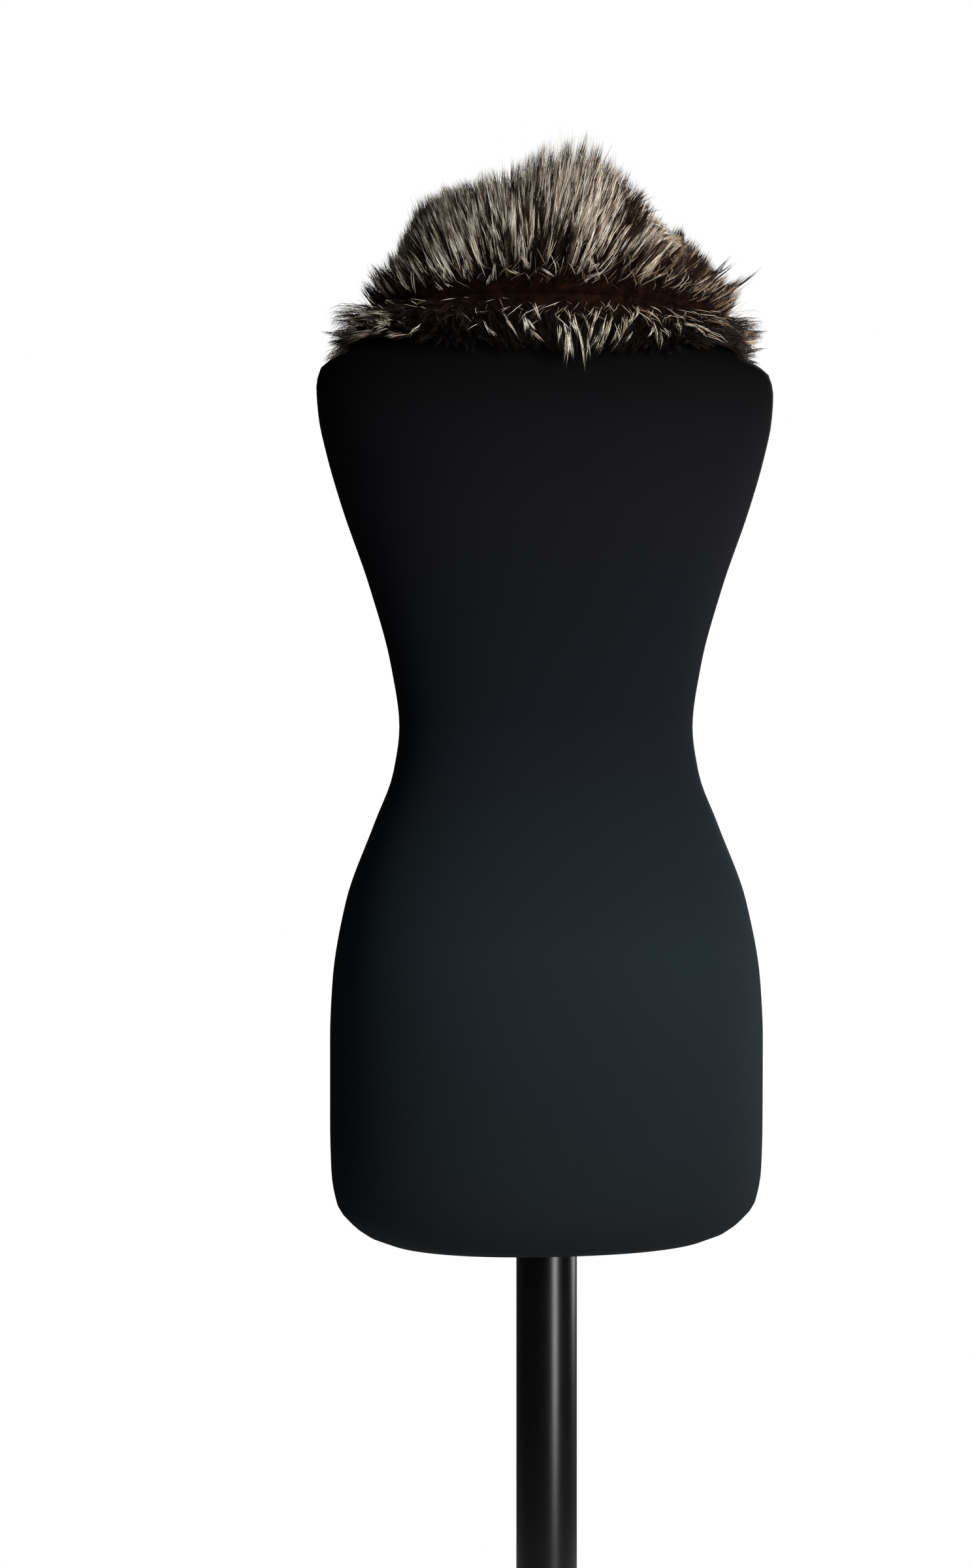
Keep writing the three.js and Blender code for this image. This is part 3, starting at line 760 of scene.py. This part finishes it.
def shell(name, inner, outer, material):
    """A closed wall between two grids of points (rows x columns x 3), with a rim all round.
    Its faces are turned outwards by the sign of the volume they enclose."""
    rows, columns = inner.shape[:2]
    count = rows * columns
    points = np.concatenate([outer.reshape(-1, 3), inner.reshape(-1, 3)])
    face = grid_faces(rows, columns)
    index = np.arange(count).reshape(rows, columns)
    rim = np.concatenate([index[0, :-1], index[:-1, -1], index[-1, :0:-1], index[:0:-1, 0]])
    ahead = np.roll(rim, -1)
    wall = np.stack([ahead, rim, rim + count, ahead + count], -1)
    faces = np.concatenate([face, face[:, ::-1] + count, wall])
    a, b, c = (points[faces[:, k]] for k in (0, 1, 2))
    volume = (a * np.cross(b, c)).sum() + (a * np.cross(c, points[faces[:, 3]])).sum()
    return make_piece(name, points, [faces if volume > 0 else faces[:, ::-1]], material)


def stations(start, stop):
    """Lengths along the strip, evenly spaced, as a column that broadcasts against fractions."""
    return np.linspace(start, stop, int(round((stop - start) / STATION_SPACING)) + 1)[:, None]


def pelt_across(strip, ways):
    """Places across the pelt, from its lower edge or the parting to its upper edge, as lengths."""
    seam = SEAM_GAP / 2
    below = -np.maximum(seam, np.linspace(1, 0, LINES_BELOW)[None] * pelt_width(strip, -1))
    above = np.maximum(seam, np.linspace(0, 1, LINES_ABOVE)[None] * pelt_width(strip, 1))
    return np.concatenate([below] * (-1 in ways) + [above] * (1 in ways), axis=1)


def pelt(name, start, stop, ways, slot):
    """One sheet of pelt. Its flat size is the longest line across the grid by the longest along it,
    and its flat area is the sum of its cells, each the cross product of two sides."""
    strip = strip_frame(stations(start, stop))
    w = pelt_across(strip, ways)
    inner = skin_point(strip, w)
    piece = shell(name, inner, inner + out_way(strip, w) * PELT_THICKNESS, suede.material)
    sides = [np.diff(inner, axis=axis)[: len(inner) - 1, : w.shape[1] - 1] for axis in (0, 1)]
    area = np.linalg.norm(np.cross(*sides), axis=-1).sum() * MM * MM
    across = np.linalg.norm(sides[1], axis=-1).sum(1).max() * MM
    length = np.linalg.norm(np.diff(inner, axis=0), axis=-1).sum(0).max() * MM
    print(f"{name}: {1000 * across:.0f} x {1000 * length:.0f} mm, {area:.4f} square metres")
    return piece, (across, length), area


half_gap = SHOULDER_SEAM_GAP / 2
BACK = (RIGHT_SEAM + half_gap, LEFT_SEAM - half_gap)
LEFT = (LEFT_SEAM + half_gap, LEFT_END)
RIGHT = (RIGHT_END, RIGHT_SEAM - half_gap)
# the stretch of each sheet, its sides of the parting, above or below, and its finish
SHEETS = {
    "back_stand": (BACK, (1,), "fur_banded"),
    "back_fall": (BACK, (-1,), "fur_dark"),
    "left_front": (LEFT, (1, -1), "fur_banded"),
    "right_front": (RIGHT, (1, -1), "fur_banded"),
}
pelts = {key: pelt(f"pelt_{key}", *stretch, ways, slot) for key, (stretch, ways, slot) in SHEETS.items()}

# %% [markdown]
# ## Underfur
#
# Between the guard hairs lies short, dense, woolly underfur, almost black-brown. It fills the
# lower half of the coat, it is what shows in the parting, and it stops light from reaching the
# leather. It is a closed shell too, on the pelt, at about half the fur's depth, with a lumpy
# surface of small tufts.

# %% Wool
# metres above the floor, and in front of the form's axis, between which black wool turns to brown
BROWN_LEVELS = (1.425, 1.452)
BROWN_FRONT = (0.0, 0.04)
WOOL_BLACK = (0.0010, 0.0006, 0.0005, 1)
WOOL_DARK = (0.0025, 0.0008, 0.0005, 1)
WOOL_BROWN = (0.0115, 0.0037, 0.0018, 1)

wool = Material("underfur_wool", roughness=0.95, specular=0.04)
clots = wool.noise(90.0, 8.0, roughness=0.7)
fibres = wool.noise(700.0, 5.0, distortion=1.5)
clotted = wool.mix(wool.smooth(clots, 0.35, 0.7), WOOL_DARK, WOOL_BROWN)
_, wool_back, wool_height = wool.axes(wool.place())
in_front = wool.smooth(wool_back * -1, *BROWN_FRONT)
browned = wool.smooth(wool_height, *BROWN_LEVELS).math("MAXIMUM", in_front)
wool.colour(wool.mix(browned, WOOL_BLACK, clotted))
wool.bump(clots + fibres * 0.5, 0.9, 0.003)
wool.tell()

# %% Underfur shells
UNDERFUR_SHARE = 0.5
UNDERFUR_LIFT = 1.8
UNDERFUR_LEAST = 0.6
UNDERFUR_INSET = 0.97
EDGE_PLACE = 0.92
EDGE_POWER = 6
TUFT_WIDTH = 5.0
TUFT_HEIGHT = 1.6


def tufts(s, w):
    """Small uneven lumps: two crossed waves whose phase drifts, so no row repeats the last."""
    drift = np.sin(s / 23.0) * 2.1 + np.sin(w / 17.0) * 1.7
    return np.sin(s / TUFT_WIDTH * 2 + drift) * np.sin(w / TUFT_WIDTH * 2 - drift)


def underfur(name, start, stop, ways, slot):
    """Wool on the pelt: share of the fur's depth x sqrt(1 - (place x edge)^6), and tufts on it."""
    strip = strip_frame(stations(start + 1, stop - 1))
    w = pelt_across(strip, ways) * UNDERFUR_INSET
    depth = np.zeros_like(w)
    for way in ways:
        f = np.abs(w) / (pelt_width(strip, way) + fur_reach(strip, way))
        depth += np.where(w * way > 0, fur_depth(strip, way, f)[0], 0)
    edge = np.where(w > 0, w / pelt_width(strip, 1), -w / pelt_width(strip, -1))
    depth = depth * UNDERFUR_SHARE * np.sqrt(np.clip(1 - (edge * EDGE_PLACE) ** EDGE_POWER, 0.05, 1))
    lump = np.clip(TUFT_HEIGHT * tufts(strip.s, w), -depth * 0.3, None)
    skin, out = skin_point(strip, w), out_way(strip, w)
    outer = skin + out * (UNDERFUR_LIFT + UNDERFUR_LEAST + depth + lump)[..., None]
    return shell(name, skin + out * UNDERFUR_LIFT, outer, wool.material)


wools = {key: underfur(f"underfur_{key}", *stretch, ways, "fur_dark")
         for key, (stretch, ways, _) in SHEETS.items()}

# %% [markdown]
# ## Guard hairs
#
# The long hairs are banded: dark brown at the root, pale in the middle, and often dark again at
# the tip. They gather into pointed locks. Blender has a hair system, but it exports as curves with
# no surface, so each hair here is a real closed mesh: a three-sided spike along a bent line, with
# only sixteen triangles, because there are tens of thousands of them.
#
# A hair's whole colour is a formula of its UV place. Along v it runs from root to tip. Along u
# there are a hundred narrow columns, from dark to white, cool and warm by turns, and each hair
# lies inside one of them. The darkest hairs have no band, and the whitest have no dark tip.

# %% Banded hair
SHADES = 100
ROOT_BROWN = (0.0055, 0.0018, 0.0010, 1)
TIP_DARK = (0.014, 0.0080, 0.0056, 1)

# a tone from dark to white, and the colour of cool and of warm hair there
HAIR_TONES = (
    (0.0, (0.0010, 0.0007, 0.0006), (0.0012, 0.0008, 0.0006)),
    (0.07, (0.0075, 0.0035, 0.0022), (0.0095, 0.0034, 0.0019)),
    (0.25, (0.030, 0.0178, 0.0118), (0.044, 0.0205, 0.0115)),
    (0.5, (0.155, 0.118, 0.083), (0.19, 0.117, 0.072)),
    (0.75, (0.40, 0.335, 0.25), (0.43, 0.31, 0.21)),
    (1.0, (0.90, 0.86, 0.76), (0.85, 0.755, 0.60)),
)
# shares of a hair's length: where its pale band and its dark tip start at the earliest, how far
# that varies from shade to shade, and how long the change from one to the next is
BAND_START, BAND_VARY = 0.30, 0.26
TIP_START, TIP_VARY = 0.72, 0.4
BAND_FADE = 0.16

hair = Material("banded_hair", specular=0.14, specular_tint=(1.0, 0.9, 0.78, 1))
hair_column, root_to_tip, _ = hair.axes(hair.node("ShaderNodeUVMap", {"uv_map": "OFBake"}))
shade = (hair_column * SHADES).math("FLOOR")
tone = (shade / 2).math("FLOOR") / (SHADES / 2 - 1)
warm = shade.math("MODULO", 2.0)
chance = hair.node("ShaderNodeTexWhiteNoise", {"noise_dimensions": "1D"}, {"W": shade + 0.5}, output=1)
band_chance, tip_chance, _ = hair.axes(chance)
cool_hair, warm_hair = (
    hair.ramp(tone, [(row[0], row[kind]) for row in HAIR_TONES]) for kind in (1, 2))
white = hair.smooth(tone, 0.88, 0.93)
band_start = BAND_START + band_chance * BAND_VARY
tip_start = TIP_START + tip_chance * TIP_VARY + white * 0.5
band = hair.smooth(root_to_tip, band_start, band_start + BAND_FADE)
tip = hair.smooth(root_to_tip, tip_start, tip_start + BAND_FADE) * 0.8
plain = 1 - hair.smooth(tone, 0.02, 0.06)
body = hair.mix(band.math("MAXIMUM", plain), ROOT_BROWN, hair.mix(warm, cool_hair, warm_hair))
hair.colour(hair.mix(tip, body, TIP_DARK))
hair.put(hair.shader.inputs["Roughness"], 0.8 - band * 0.42)
hair.tell()

# %% Spikes along bent lines
SPIKE_STEPS = np.array([0.0, 0.38, 0.74, 1.0])
SPIKE_TAPER = np.array([0.75, 1.0, 0.62])
SPIKE_SIDES = 3
SPIKE_POINTS = SPIKE_SIDES * len(SPIKE_TAPER) + 1
UV_HALF_WIDTH = 0.0036
UV_STAGGER = 0.008


def spikes(root, bend, tip, radius, shade):
    """Closed three-sided spikes on the curves (1-t)^2 root + 2t(1-t) bend + t^2 tip. Their sides
    are set off from the curve by the normal of its plane and by that crossed with its direction."""
    t = SPIKE_STEPS[None, :, None]
    curve = (1 - t) ** 2 * root[:, None] + 2 * t * (1 - t) * bend[:, None] + t * t * tip[:, None]
    way = unit((1 - t) * (bend - root)[:, None] + t * (tip - bend)[:, None])[:, :-1]
    normal = np.cross(bend - root, tip - root)
    normal = unit(normal + 1e-6 * np.roll(tip - root, 1, axis=-1))[:, None]
    side = unit(np.cross(way, normal))
    angle = np.arange(SPIKE_SIDES)[:, None] * 2 * np.pi / SPIKE_SIDES
    offset = np.cos(angle) * normal[:, :, None] + np.sin(angle) * side[:, :, None]
    size = (radius[:, None] * SPIKE_TAPER)[:, :, None, None]
    sides = (curve[:, :-1, None] + offset * size).reshape(len(root), -1, 3)
    points = np.concatenate([sides, tip[:, None]], axis=1)
    column = (shade + 0.5) / SHADES
    rings = len(SPIKE_TAPER)
    u = column[:, None] + np.append(np.tile([-1, 0, 1], rings), 0) * UV_HALF_WIDTH
    v = np.repeat(SPIKE_STEPS[:-1], SPIKE_SIDES) + np.tile([0, UV_STAGGER, 0], rings)
    return points, np.stack(np.broadcast_arrays(u, np.append(v, 1.0)), -1)


def spike_faces(count):
    """The sixteen triangles of each spike: two sleeves of quads, the point and the root's cap."""
    ring = np.arange(SPIKE_SIDES)
    sleeve = grid_faces(len(SPIKE_TAPER), SPIKE_SIDES, wrap=True)[:, ::-1]
    point = fan_faces(SPIKE_POINTS - 1, ring + SPIKE_POINTS - 1 - SPIKE_SIDES)[:, ::-1]
    shift = np.arange(count)[:, None, None] * SPIKE_POINTS
    return [(part + shift).reshape(-1, part.shape[1]) for part in (sleeve, point, ring[None])]


print("a hair has", SPIKE_POINTS, "points and", sum(map(len, spike_faces(1))), "faces")

# %% [markdown]
# ## Locks
#
# A lock starts as a patch of roots a few millimetres wide, and its hairs run together to one
# point. Roots are spread over the pelt by a golden-ratio sequence, which fills an area evenly
# with no rows showing. Each lock's tip lies on the fur's outer surface, further from the parting
# than its root, by the hair's lean. So hairs overlap like tiles, and their pale parts show.

# %% Grow locks on one half of a stretch
GOLDEN = 0.6180339887
HAIR_RADIUS = 0.29
# how far tips keep from the ends of the strip, and roots from the pelt's edges
END_MARGIN = 3.0
EDGE_MARGIN = 0.5
# how high a root lies in the pelt, as a share of its thickness
ROOT_SHARE = 0.6
# the points of the shoulders, where the hair stands out more
SHOULDER_PLACE = 185.0
SHOULDER_WIDTH = 32.0
SHOULDER_PROUD = 0.2
# the share of wild hairs and how much further from the lock's point they end
WILD_SHARE = 0.1
WILD_SPREAD = 3.0
# the share of odd hairs, how their tone differs from the lock's, and how the other hairs' do
ODD_SHARE = 0.14
ODD_TONES = (-0.7, 0.4)
TONE_SCATTER = 0.06
# between which shares a hair's width and curl vary, and how much longer a hair is than its lock
HAIR_VARY = (0.6, 1.4)
LENGTH_VARY = (-0.16, 0.04)
CURL_SCATTER = 0.02
# the share of warm hairs at the middle of the back, and the length over which it falls by 1
WARM_SHARE = 0.45
WARM_LENGTH = 260.0


def evaluate(value, s):
    """A size that is one number all along the strip, or a function of the length s."""
    return value(s) if callable(value) else np.full(len(s), float(value))


def bell(s, middle, width):
    """1 at the middle, falling off on both sides as exp(-(distance / width)^2)."""
    return np.exp(-((s - middle) / width) ** 2)


def proud(s):
    """The hair stands out a little more on the points of the shoulders."""
    return 1 + SHOULDER_PROUD * bell(np.abs(s), SHOULDER_PLACE, SHOULDER_WIDTH)


def warmth(s):
    """The share of warm hairs: more towards the wearer's right, which is the picture's right."""
    return np.clip(WARM_SHARE - s / WARM_LENGTH, 0.1, 0.9)


def grow(rng, stretch, way, locks, hairs, lean, tones, slant=0.0, trim=0.0, roots=(0.0, 1.0),
         depth=(0.84, 1.03), tuft=2.2, point=0.6, radius=HAIR_RADIUS, bulge=0.2, droop=0.0,
         vary=(0.8, 1.06), wander=4.5, flow=0.0):
    """Locks on the pelt of a stretch, on one side of the parting. `lean` is how far past its root
    a tip at the parting lies, and at the pelt's edge a tip lies at the fur's reach, less `trim`.
    `flow` lengthens the locks between. `slant` and the random `wander` carry tips along the strip,
    less so near its ends. A lock's roots lie `tuft` about its middle and its tips `point` about its
    own. `bulge` bends the hairs outwards and `droop` lowers their tips. Three ranges are shares:
    `roots` of the pelt's width, `vary` of the way from root to tip, and `depth` of the fur's depth.
    Returns the arrays that spikes() takes."""
    k = np.arange(locks)
    start, stop = stretch
    s = start + (stop - start) * (k + rng.random(locks)) / locks
    r = roots[0] + (roots[1] - roots[0]) * ((k * GOLDEN + 0.1 * rng.random(locks)) % 1)
    width = pelt_width(strip_frame(s), way)
    sway = evaluate(slant, s) + rng.normal(0, wander, locks)
    room = np.where(sway > 0, LEFT_END - s, s - RIGHT_END) - END_MARGIN
    tip_s = s + np.sign(sway) * room * np.tanh(np.abs(sway) / np.maximum(room, 1.0))
    ahead = strip_frame(tip_s)
    edge, reach = pelt_width(ahead, way), fur_reach(ahead, way)
    onward = (1 - r) * evaluate(lean, s) * ahead.width + r * reach - r * r * evaluate(trim, tip_s)
    onward = onward + 4 * r * (1 - r) * flow * ahead.width
    past = r * edge + rng.uniform(*vary, locks) * onward
    f = past / (edge + reach)
    deep, w = fur_depth(ahead, way, np.clip(f, 0, 1))
    w = way * np.where(f > 1, past, w)
    rise = deep * rng.uniform(*depth, locks) * proud(tip_s)
    tip = skin_point(ahead, w) + out_way(ahead, w) * rise[:, None]
    tip = tip - np.array([0, 0, 1]) * evaluate(droop, s)[:, None]
    tone = tones(rng, s, r)

    each = np.repeat(k, hairs)
    n = len(each)
    hair_s = np.clip(s[each] + rng.normal(0, tuft, n), RIGHT_END + 1, LEFT_END - 1)
    hair_strip = strip_frame(hair_s)
    hair_w = r[each] * width[each] + rng.normal(0, tuft, n)
    hair_w = way * np.clip(hair_w, EDGE_MARGIN, pelt_width(hair_strip, way) - EDGE_MARGIN)
    out = out_way(hair_strip, hair_w)
    root = skin_point(hair_strip, hair_w) + out * PELT_THICKNESS * ROOT_SHARE
    stray = np.where(rng.random((n, 1)) < WILD_SHARE, WILD_SPREAD, 1) * point
    hair_tip = tip[each] + rng.normal(0, 1, (n, 3)) * stray
    hair_tip = hair_tip + (tip[each] - root) * rng.uniform(*LENGTH_VARY, (n, 1))
    size = np.linalg.norm(hair_tip - root, axis=1, keepdims=True)
    curl = out * bulge * rng.uniform(*HAIR_VARY, (n, 1)) + rng.normal(0, CURL_SCATTER, (n, 3))
    bend = (root + hair_tip) / 2 + curl * size
    odd = np.where(rng.random(n) < ODD_SHARE, rng.uniform(*ODD_TONES, n), rng.normal(0, TONE_SCATTER, n))
    tone = np.clip(tone[each] + odd * (0.15 + 0.85 * tone[each]), 0, 0.999)
    warm = rng.random(n) < warmth(hair_s)
    shade = np.floor(tone * SHADES / 2) * 2 + warm
    return root, bend, hair_tip, radius * rng.uniform(*HAIR_VARY, n), shade


print(f"{warmth(0.0):.0%} of the hairs are warm in the middle of the back")

# %% [markdown]
# ## Tones
#
# Every lock draws one tone, from 0 for black-brown to 1 for white, and its hairs differ from it a
# little. The odds change along the strip. The coat has dark and pale patches, and it is darker
# towards the wearer's right. Below the parting behind, nearly all is dark, with clusters of white
# locks, and in the channel the hair is brown.

# %% Draw the tones
# the stretch that has a fringe, and how far apart its white clusters are, counted from one of them
FRINGE_SPAN = (-135.0, 116.0)
FRINGE_PERIOD = 33.0
FRINGE_START = -2.0
# past this length, on the wearer's left, the lower hair within this share of the pelt's width is
# brown, which widens the channel
BROWN_PAST = 55.0
BROWN_SHARE = 0.4
# the short hair within this share is brown or black in patches
CHANNEL_SHARE = 0.45
# how much the patches, and the hair beside the parting, shift a lock's odds towards dark
PATCH_SHIFT = 0.34
PARTING_SHIFT = 0.25
# length along the strip, how much darker the coat is there, how white its pale locks are
DARKER = np.array([
    [-260, 0.0, 1.0], [-176, 0.04, 0.95], [-145, 0.22, 0.6], [-110, 0.28, 0.64], [-80, 0.16, 0.84],
    [-55, 0.05, 0.97], [-15, 0.1, 0.98], [30, -0.01, 0.99], [70, -0.2, 1.0], [105, -0.18, 0.95],
    [135, -0.12, 0.85], [170, -0.2, 1.0], [260, 0.0, 1.0],
])


def along_strip(table, column):
    """A size as a function of the length along the strip: straight lines between a table's rows."""
    def size(s):
        return np.interp(s, table[:, 0], table[:, column])
    return size


darker, whiteness = (along_strip(DARKER, column) for column in (1, 2))
print(len(DARKER), "places in the table of tones")


def patches(s, r):
    """Slow waves over the coat, from -1 to 1, that gather dark locks and pale ones."""
    wide = np.sin(s / 13.0 + 2.2 * np.sin(s / 31.0)) * np.cos(4.0 * r + s / 19.0)
    return 0.6 * wide + 0.4 * np.sin(s / 7.3)


def pick_tones(rng, kind, shares, ranges):
    """A tone for each lock: its kind, from 0 to 1, falls in one of three shares of the coat."""
    tones = [rng.uniform(low, high, len(kind)) for low, high in ranges]
    return np.where(kind < shares[0], tones[0], np.where(kind < shares[1], tones[1], tones[2]))


def coat_tones(rng, s, r):
    """Nearly half the locks are pale, a tenth are middling and the rest dark, before the patches,
    the place on the strip and the parting's nearness shift the odds."""
    kind = rng.random(len(s)) + PATCH_SHIFT * patches(s, r) + darker(s)
    kind = kind + PARTING_SHIFT * np.clip(1 - r / 0.25, 0, 1)
    tones = pick_tones(rng, kind, (0.47, 0.57), ((0.78, 0.999), (0.40, 0.60), (0.03, 0.13)))
    return tones * whiteness(s)


def on_shoulder(s):
    """Whether a place on the strip is past the fringe."""
    return (s < FRINGE_SPAN[0]) | (s > FRINGE_SPAN[1])


def fringe_tones(rng, s, r):
    """Below the parting behind: dark locks, with clusters of white ones FRINGE_PERIOD apart, most
    of all near the middle. On the shoulders they turn to the rest of the coat's."""
    cluster = np.cos(2 * np.pi * (s - FRINGE_START) / FRINGE_PERIOD)
    whiter = 0.06 + 0.26 * bell(s, -16.0, 62.0)
    kind = rng.random(len(s)) - np.where(cluster > 0.2, whiter, 0.0)
    white = pick_tones(rng, kind, (0.07, 0.12), ((0.93, 0.999), (0.7, 0.85), (0.0, 0.03)))
    brown = rng.uniform(0.03, 0.12, len(s))
    lower = np.where(on_shoulder(s), coat_tones(rng, s, r), white)
    return np.where((s > BROWN_PAST) & (r < BROWN_SHARE), brown, lower)


def root_tones(rng, s, r):
    """Brown and black patches in the channel and black towards the lower edge, which turns to the
    coat's tones on the points of the shoulders."""
    brown = 0.05 + 0.04 * np.sin(s / 10.0 + 2.0 * np.sin(s / 23.0)) + rng.uniform(-0.03, 0.03, len(s))
    edge = np.where(on_shoulder(s), coat_tones(rng, s, r), rng.uniform(0.0, 0.03, len(s)))
    return np.where(r < CHANNEL_SHARE, np.clip(brown, 0.0, 0.1), edge)


def stray_tones(rng, s, r):
    """Single long hairs are all pale."""
    return rng.uniform(0.5, 0.95, len(s))


def corner_tones(rng, s, r):
    """The tufts on the point of the right shoulder are darker than the coat beside them."""
    pale = rng.random(len(s)) < 0.4
    return np.where(pale, rng.uniform(0.5, 0.8, len(s)), rng.uniform(0.02, 0.2, len(s)))

# %% [markdown]
# ## Which way the coat lies
#
# Behind the neck the hair leans well away from the parting, which leaves the dark channel open.
# On the shoulders and chest it stands nearly straight out beside the parting, so that the channel
# narrows. Tables of a few places along the strip hold how the coat leans, sways and is trimmed.

# %% Lean, sway and trim
# length along the strip, lean at the parting above it, sway of the tips, trim of the top edge
COAT = np.array([
    [-300, 28, -26, 0], [-215, 24, -18, 0], [-170, 17, -12, 0], [-135, 20, -15, -8], [-112, 28, -17, -4],
    [-84, 38, -18, 14], [-62, 43, -17, 7], [-38, 46, -15, 0], [-13, 47, -12, -9], [12, 47, -7, 0],
    [35, 47, 0, 2], [70, 42, 7, 2], [100, 34, 10, 0], [130, 23, 10, 0], [170, 16, 10, 0],
    [215, 24, 18, 0], [300, 28, 26, 0],
], dtype=float)
# length along the strip, slant of the lower hair's tips
FRINGE = np.array([
    [-300, -24], [-215, -22], [-165, -30], [-130, -28], [-105, -8], [-85, 6], [-60, 16], [-30, 9],
    [-14, 0], [10, -8], [45, -15], [85, -8], [110, 10], [135, 30], [165, 30], [215, 22], [300, 24],
], dtype=float)
lean_above, coat_sway, top_trim = (along_strip(COAT, column) for column in (1, 2, 3))
fringe_slant = along_strip(FRINGE, 1)


def channel_slant(s):
    """Short hairs in and beside the channel point either way."""
    return 13.0 * np.sin(s * 1.7)


def fringe_lean(s):
    """The longest locks of the fringe lie just beside the middle of the back."""
    return 24.0 + 22.0 * bell(s, -14.0, 38.0)


def lean_below(s):
    """The lean below the parting on the fronts, at three distances from the middle of the back."""
    return np.interp(np.abs(s), [170.0, 215.0, 300.0], [18.0, 26.0, 30.0])

print(len(COAT), "places in the table of the coat,", len(FRINGE), "in that of the lower hair")

# %% [markdown]
# ## The collar's hair
#
# Behind the neck, two layers of locks stand above the parting. Below it lie the fringe, short hair
# in the channel and at the edge, and single long strays that cross the channel. Each front has one
# coat above and one below. Tufts on the points of the shoulders give the outline its corners.

# %% Grow the collar
# the stretch behind the neck where the longest strays cross the channel
CROSSED = (-125.0, 25.0)
UPPER_COAT = (lean_above, coat_tones, coat_sway)
LOWER_COAT = (lean_below, coat_tones, fringe_slant)
STAND = {"tuft": 1.7, "flow": 16.0}
FRONT = {"depth": (0.55, 1.0), "flow": 10.0}
STRAY = {"radius": 0.16, "bulge": 0.4, "wander": 9.0}


def fur_piece(key, growths, part=""):
    """One piece from several growths of hair, standing for the solid of the sheet they grow on."""
    points, uv = spikes(*(np.concatenate(parts) for parts in zip(*growths)))
    piece = make_piece(f"fur_{key}{part}", points.reshape(-1, 3), spike_faces(len(points)),
                       hair.material, uv.reshape(-1, 2))
    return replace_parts(piece, f"collar_{key}")


rng = np.random.default_rng(41)
left_rng = np.random.default_rng(7)
furs = {
    # the lower layer and the upper one
    "back_stand": [
        fur_piece("back_stand", [
            grow(rng, BACK, 1, 1660, 7, *UPPER_COAT, top_trim, roots=(0.0, 0.55), vary=(0.6, 1.06),
                 **STAND)], "_low"),
        fur_piece("back_stand", [
            grow(rng, BACK, 1, 1660, 7, *UPPER_COAT, top_trim, roots=(0.4, 1.0), vary=(0.9, 1.18),
                 point=1.1, **STAND)], "_high")],
    "back_fall": [fur_piece("back_fall", [
        # the fringe
        grow(rng, BACK, -1, 440, 5, fringe_lean, fringe_tones, fringe_slant, roots=(0.0, 0.7),
             depth=(0.75, 1.3), vary=(0.5, 1.45), radius=0.23, droop=5.0, tuft=1.4, wander=7.0,
             bulge=0.35),
        # short hair under it, at the edge, and in the channel
        grow(rng, BACK, -1, 400, 8, 12.0, root_tones, depth=(0.45, 0.8), roots=(0.0, 0.8), tuft=4.0),
        grow(rng, BACK, -1, 170, 8, 14.0, root_tones, fringe_slant, depth=(0.3, 1.0), roots=(0.8, 1.0),
             vary=(0.6, 1.5), tuft=2.5, droop=3.0),
        grow(rng, BACK, -1, 130, 8, 2.0, root_tones, depth=(0.5, 0.95), roots=(0.0, 0.2), tuft=3.0),
        # small locks of the coat and single strays over the channel
        grow(rng, BACK, 1, 170, 6, 12.0, coat_tones, channel_slant, roots=(0.0, 0.2),
             depth=(0.6, 1.0), vary=(0.5, 1.5), radius=0.2, tuft=1.4, point=0.5),
        grow(rng, BACK, -1, 150, 1, 18.0, stray_tones, channel_slant, roots=(0.0, 0.5),
             depth=(0.7, 1.3), vary=(0.2, 1.4), **STRAY),
        grow(rng, BACK, 1, 150, 1, 22.0, stray_tones, channel_slant, roots=(0.0, 0.2),
             depth=(0.7, 1.2), vary=(0.2, 1.2), **STRAY),
        *(grow(rng, CROSSED, way, 55, 1, 20.0, stray_tones, channel_slant, roots=(0.0, 0.12),
               depth=(0.9, 1.4), vary=(0.5, 1.3), radius=0.23, bulge=0.5, wander=12.0)
          for way in (1, -1)),
        # tufts on the point of the right shoulder
        grow(rng, (RIGHT_SEAM + 2, RIGHT_SEAM + 16), -1, 9, 12, 24.0, corner_tones, -10.0,
             roots=(0.1, 0.8), depth=(1.15, 1.5), tuft=2.4, droop=8.0),
        grow(rng, (RIGHT_SEAM + 16, RIGHT_SEAM + 42), 1, 10, 12, 26.0, corner_tones, -16.0,
             roots=(0.2, 0.7), depth=(1.15, 1.5), tuft=2.4)])],
    "left_front": [fur_piece("left_front", [
        grow(rng, LEFT, 1, 730, 7, *UPPER_COAT, **FRONT),
        grow(rng, LEFT, -1, 730, 7, *LOWER_COAT, **FRONT),
        grow(left_rng, (LEFT_SEAM + 2, LEFT_SEAM + 30), -1, 16, 12, 24.0, coat_tones, 10.0,
             roots=(0.1, 0.95), depth=(1.2, 1.7), tuft=2.4, droop=16.0)])],
    "right_front": [fur_piece("right_front", [
        grow(rng, RIGHT, 1, 730, 7, *UPPER_COAT, **FRONT),
        grow(rng, RIGHT, -1, 720, 7, *LOWER_COAT, **FRONT),
        grow(rng, (RIGHT_SEAM - 26, RIGHT_SEAM - 4), -1, 12, 12, 22.0, corner_tones, -6.0,
             roots=(0.1, 0.9), depth=(1.2, 1.7), tuft=2.4, droop=14.0)])],
}

# %% [markdown]
# ## The solids that the sheets stand for
#
# Each sheet of pelt and its underfur hide the solid of the collar that they stand for.

for key, (piece, flat, area) in pelts.items():
    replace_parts(piece, f"collar_{key}")
    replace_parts(wools[key], f"collar_{key}")
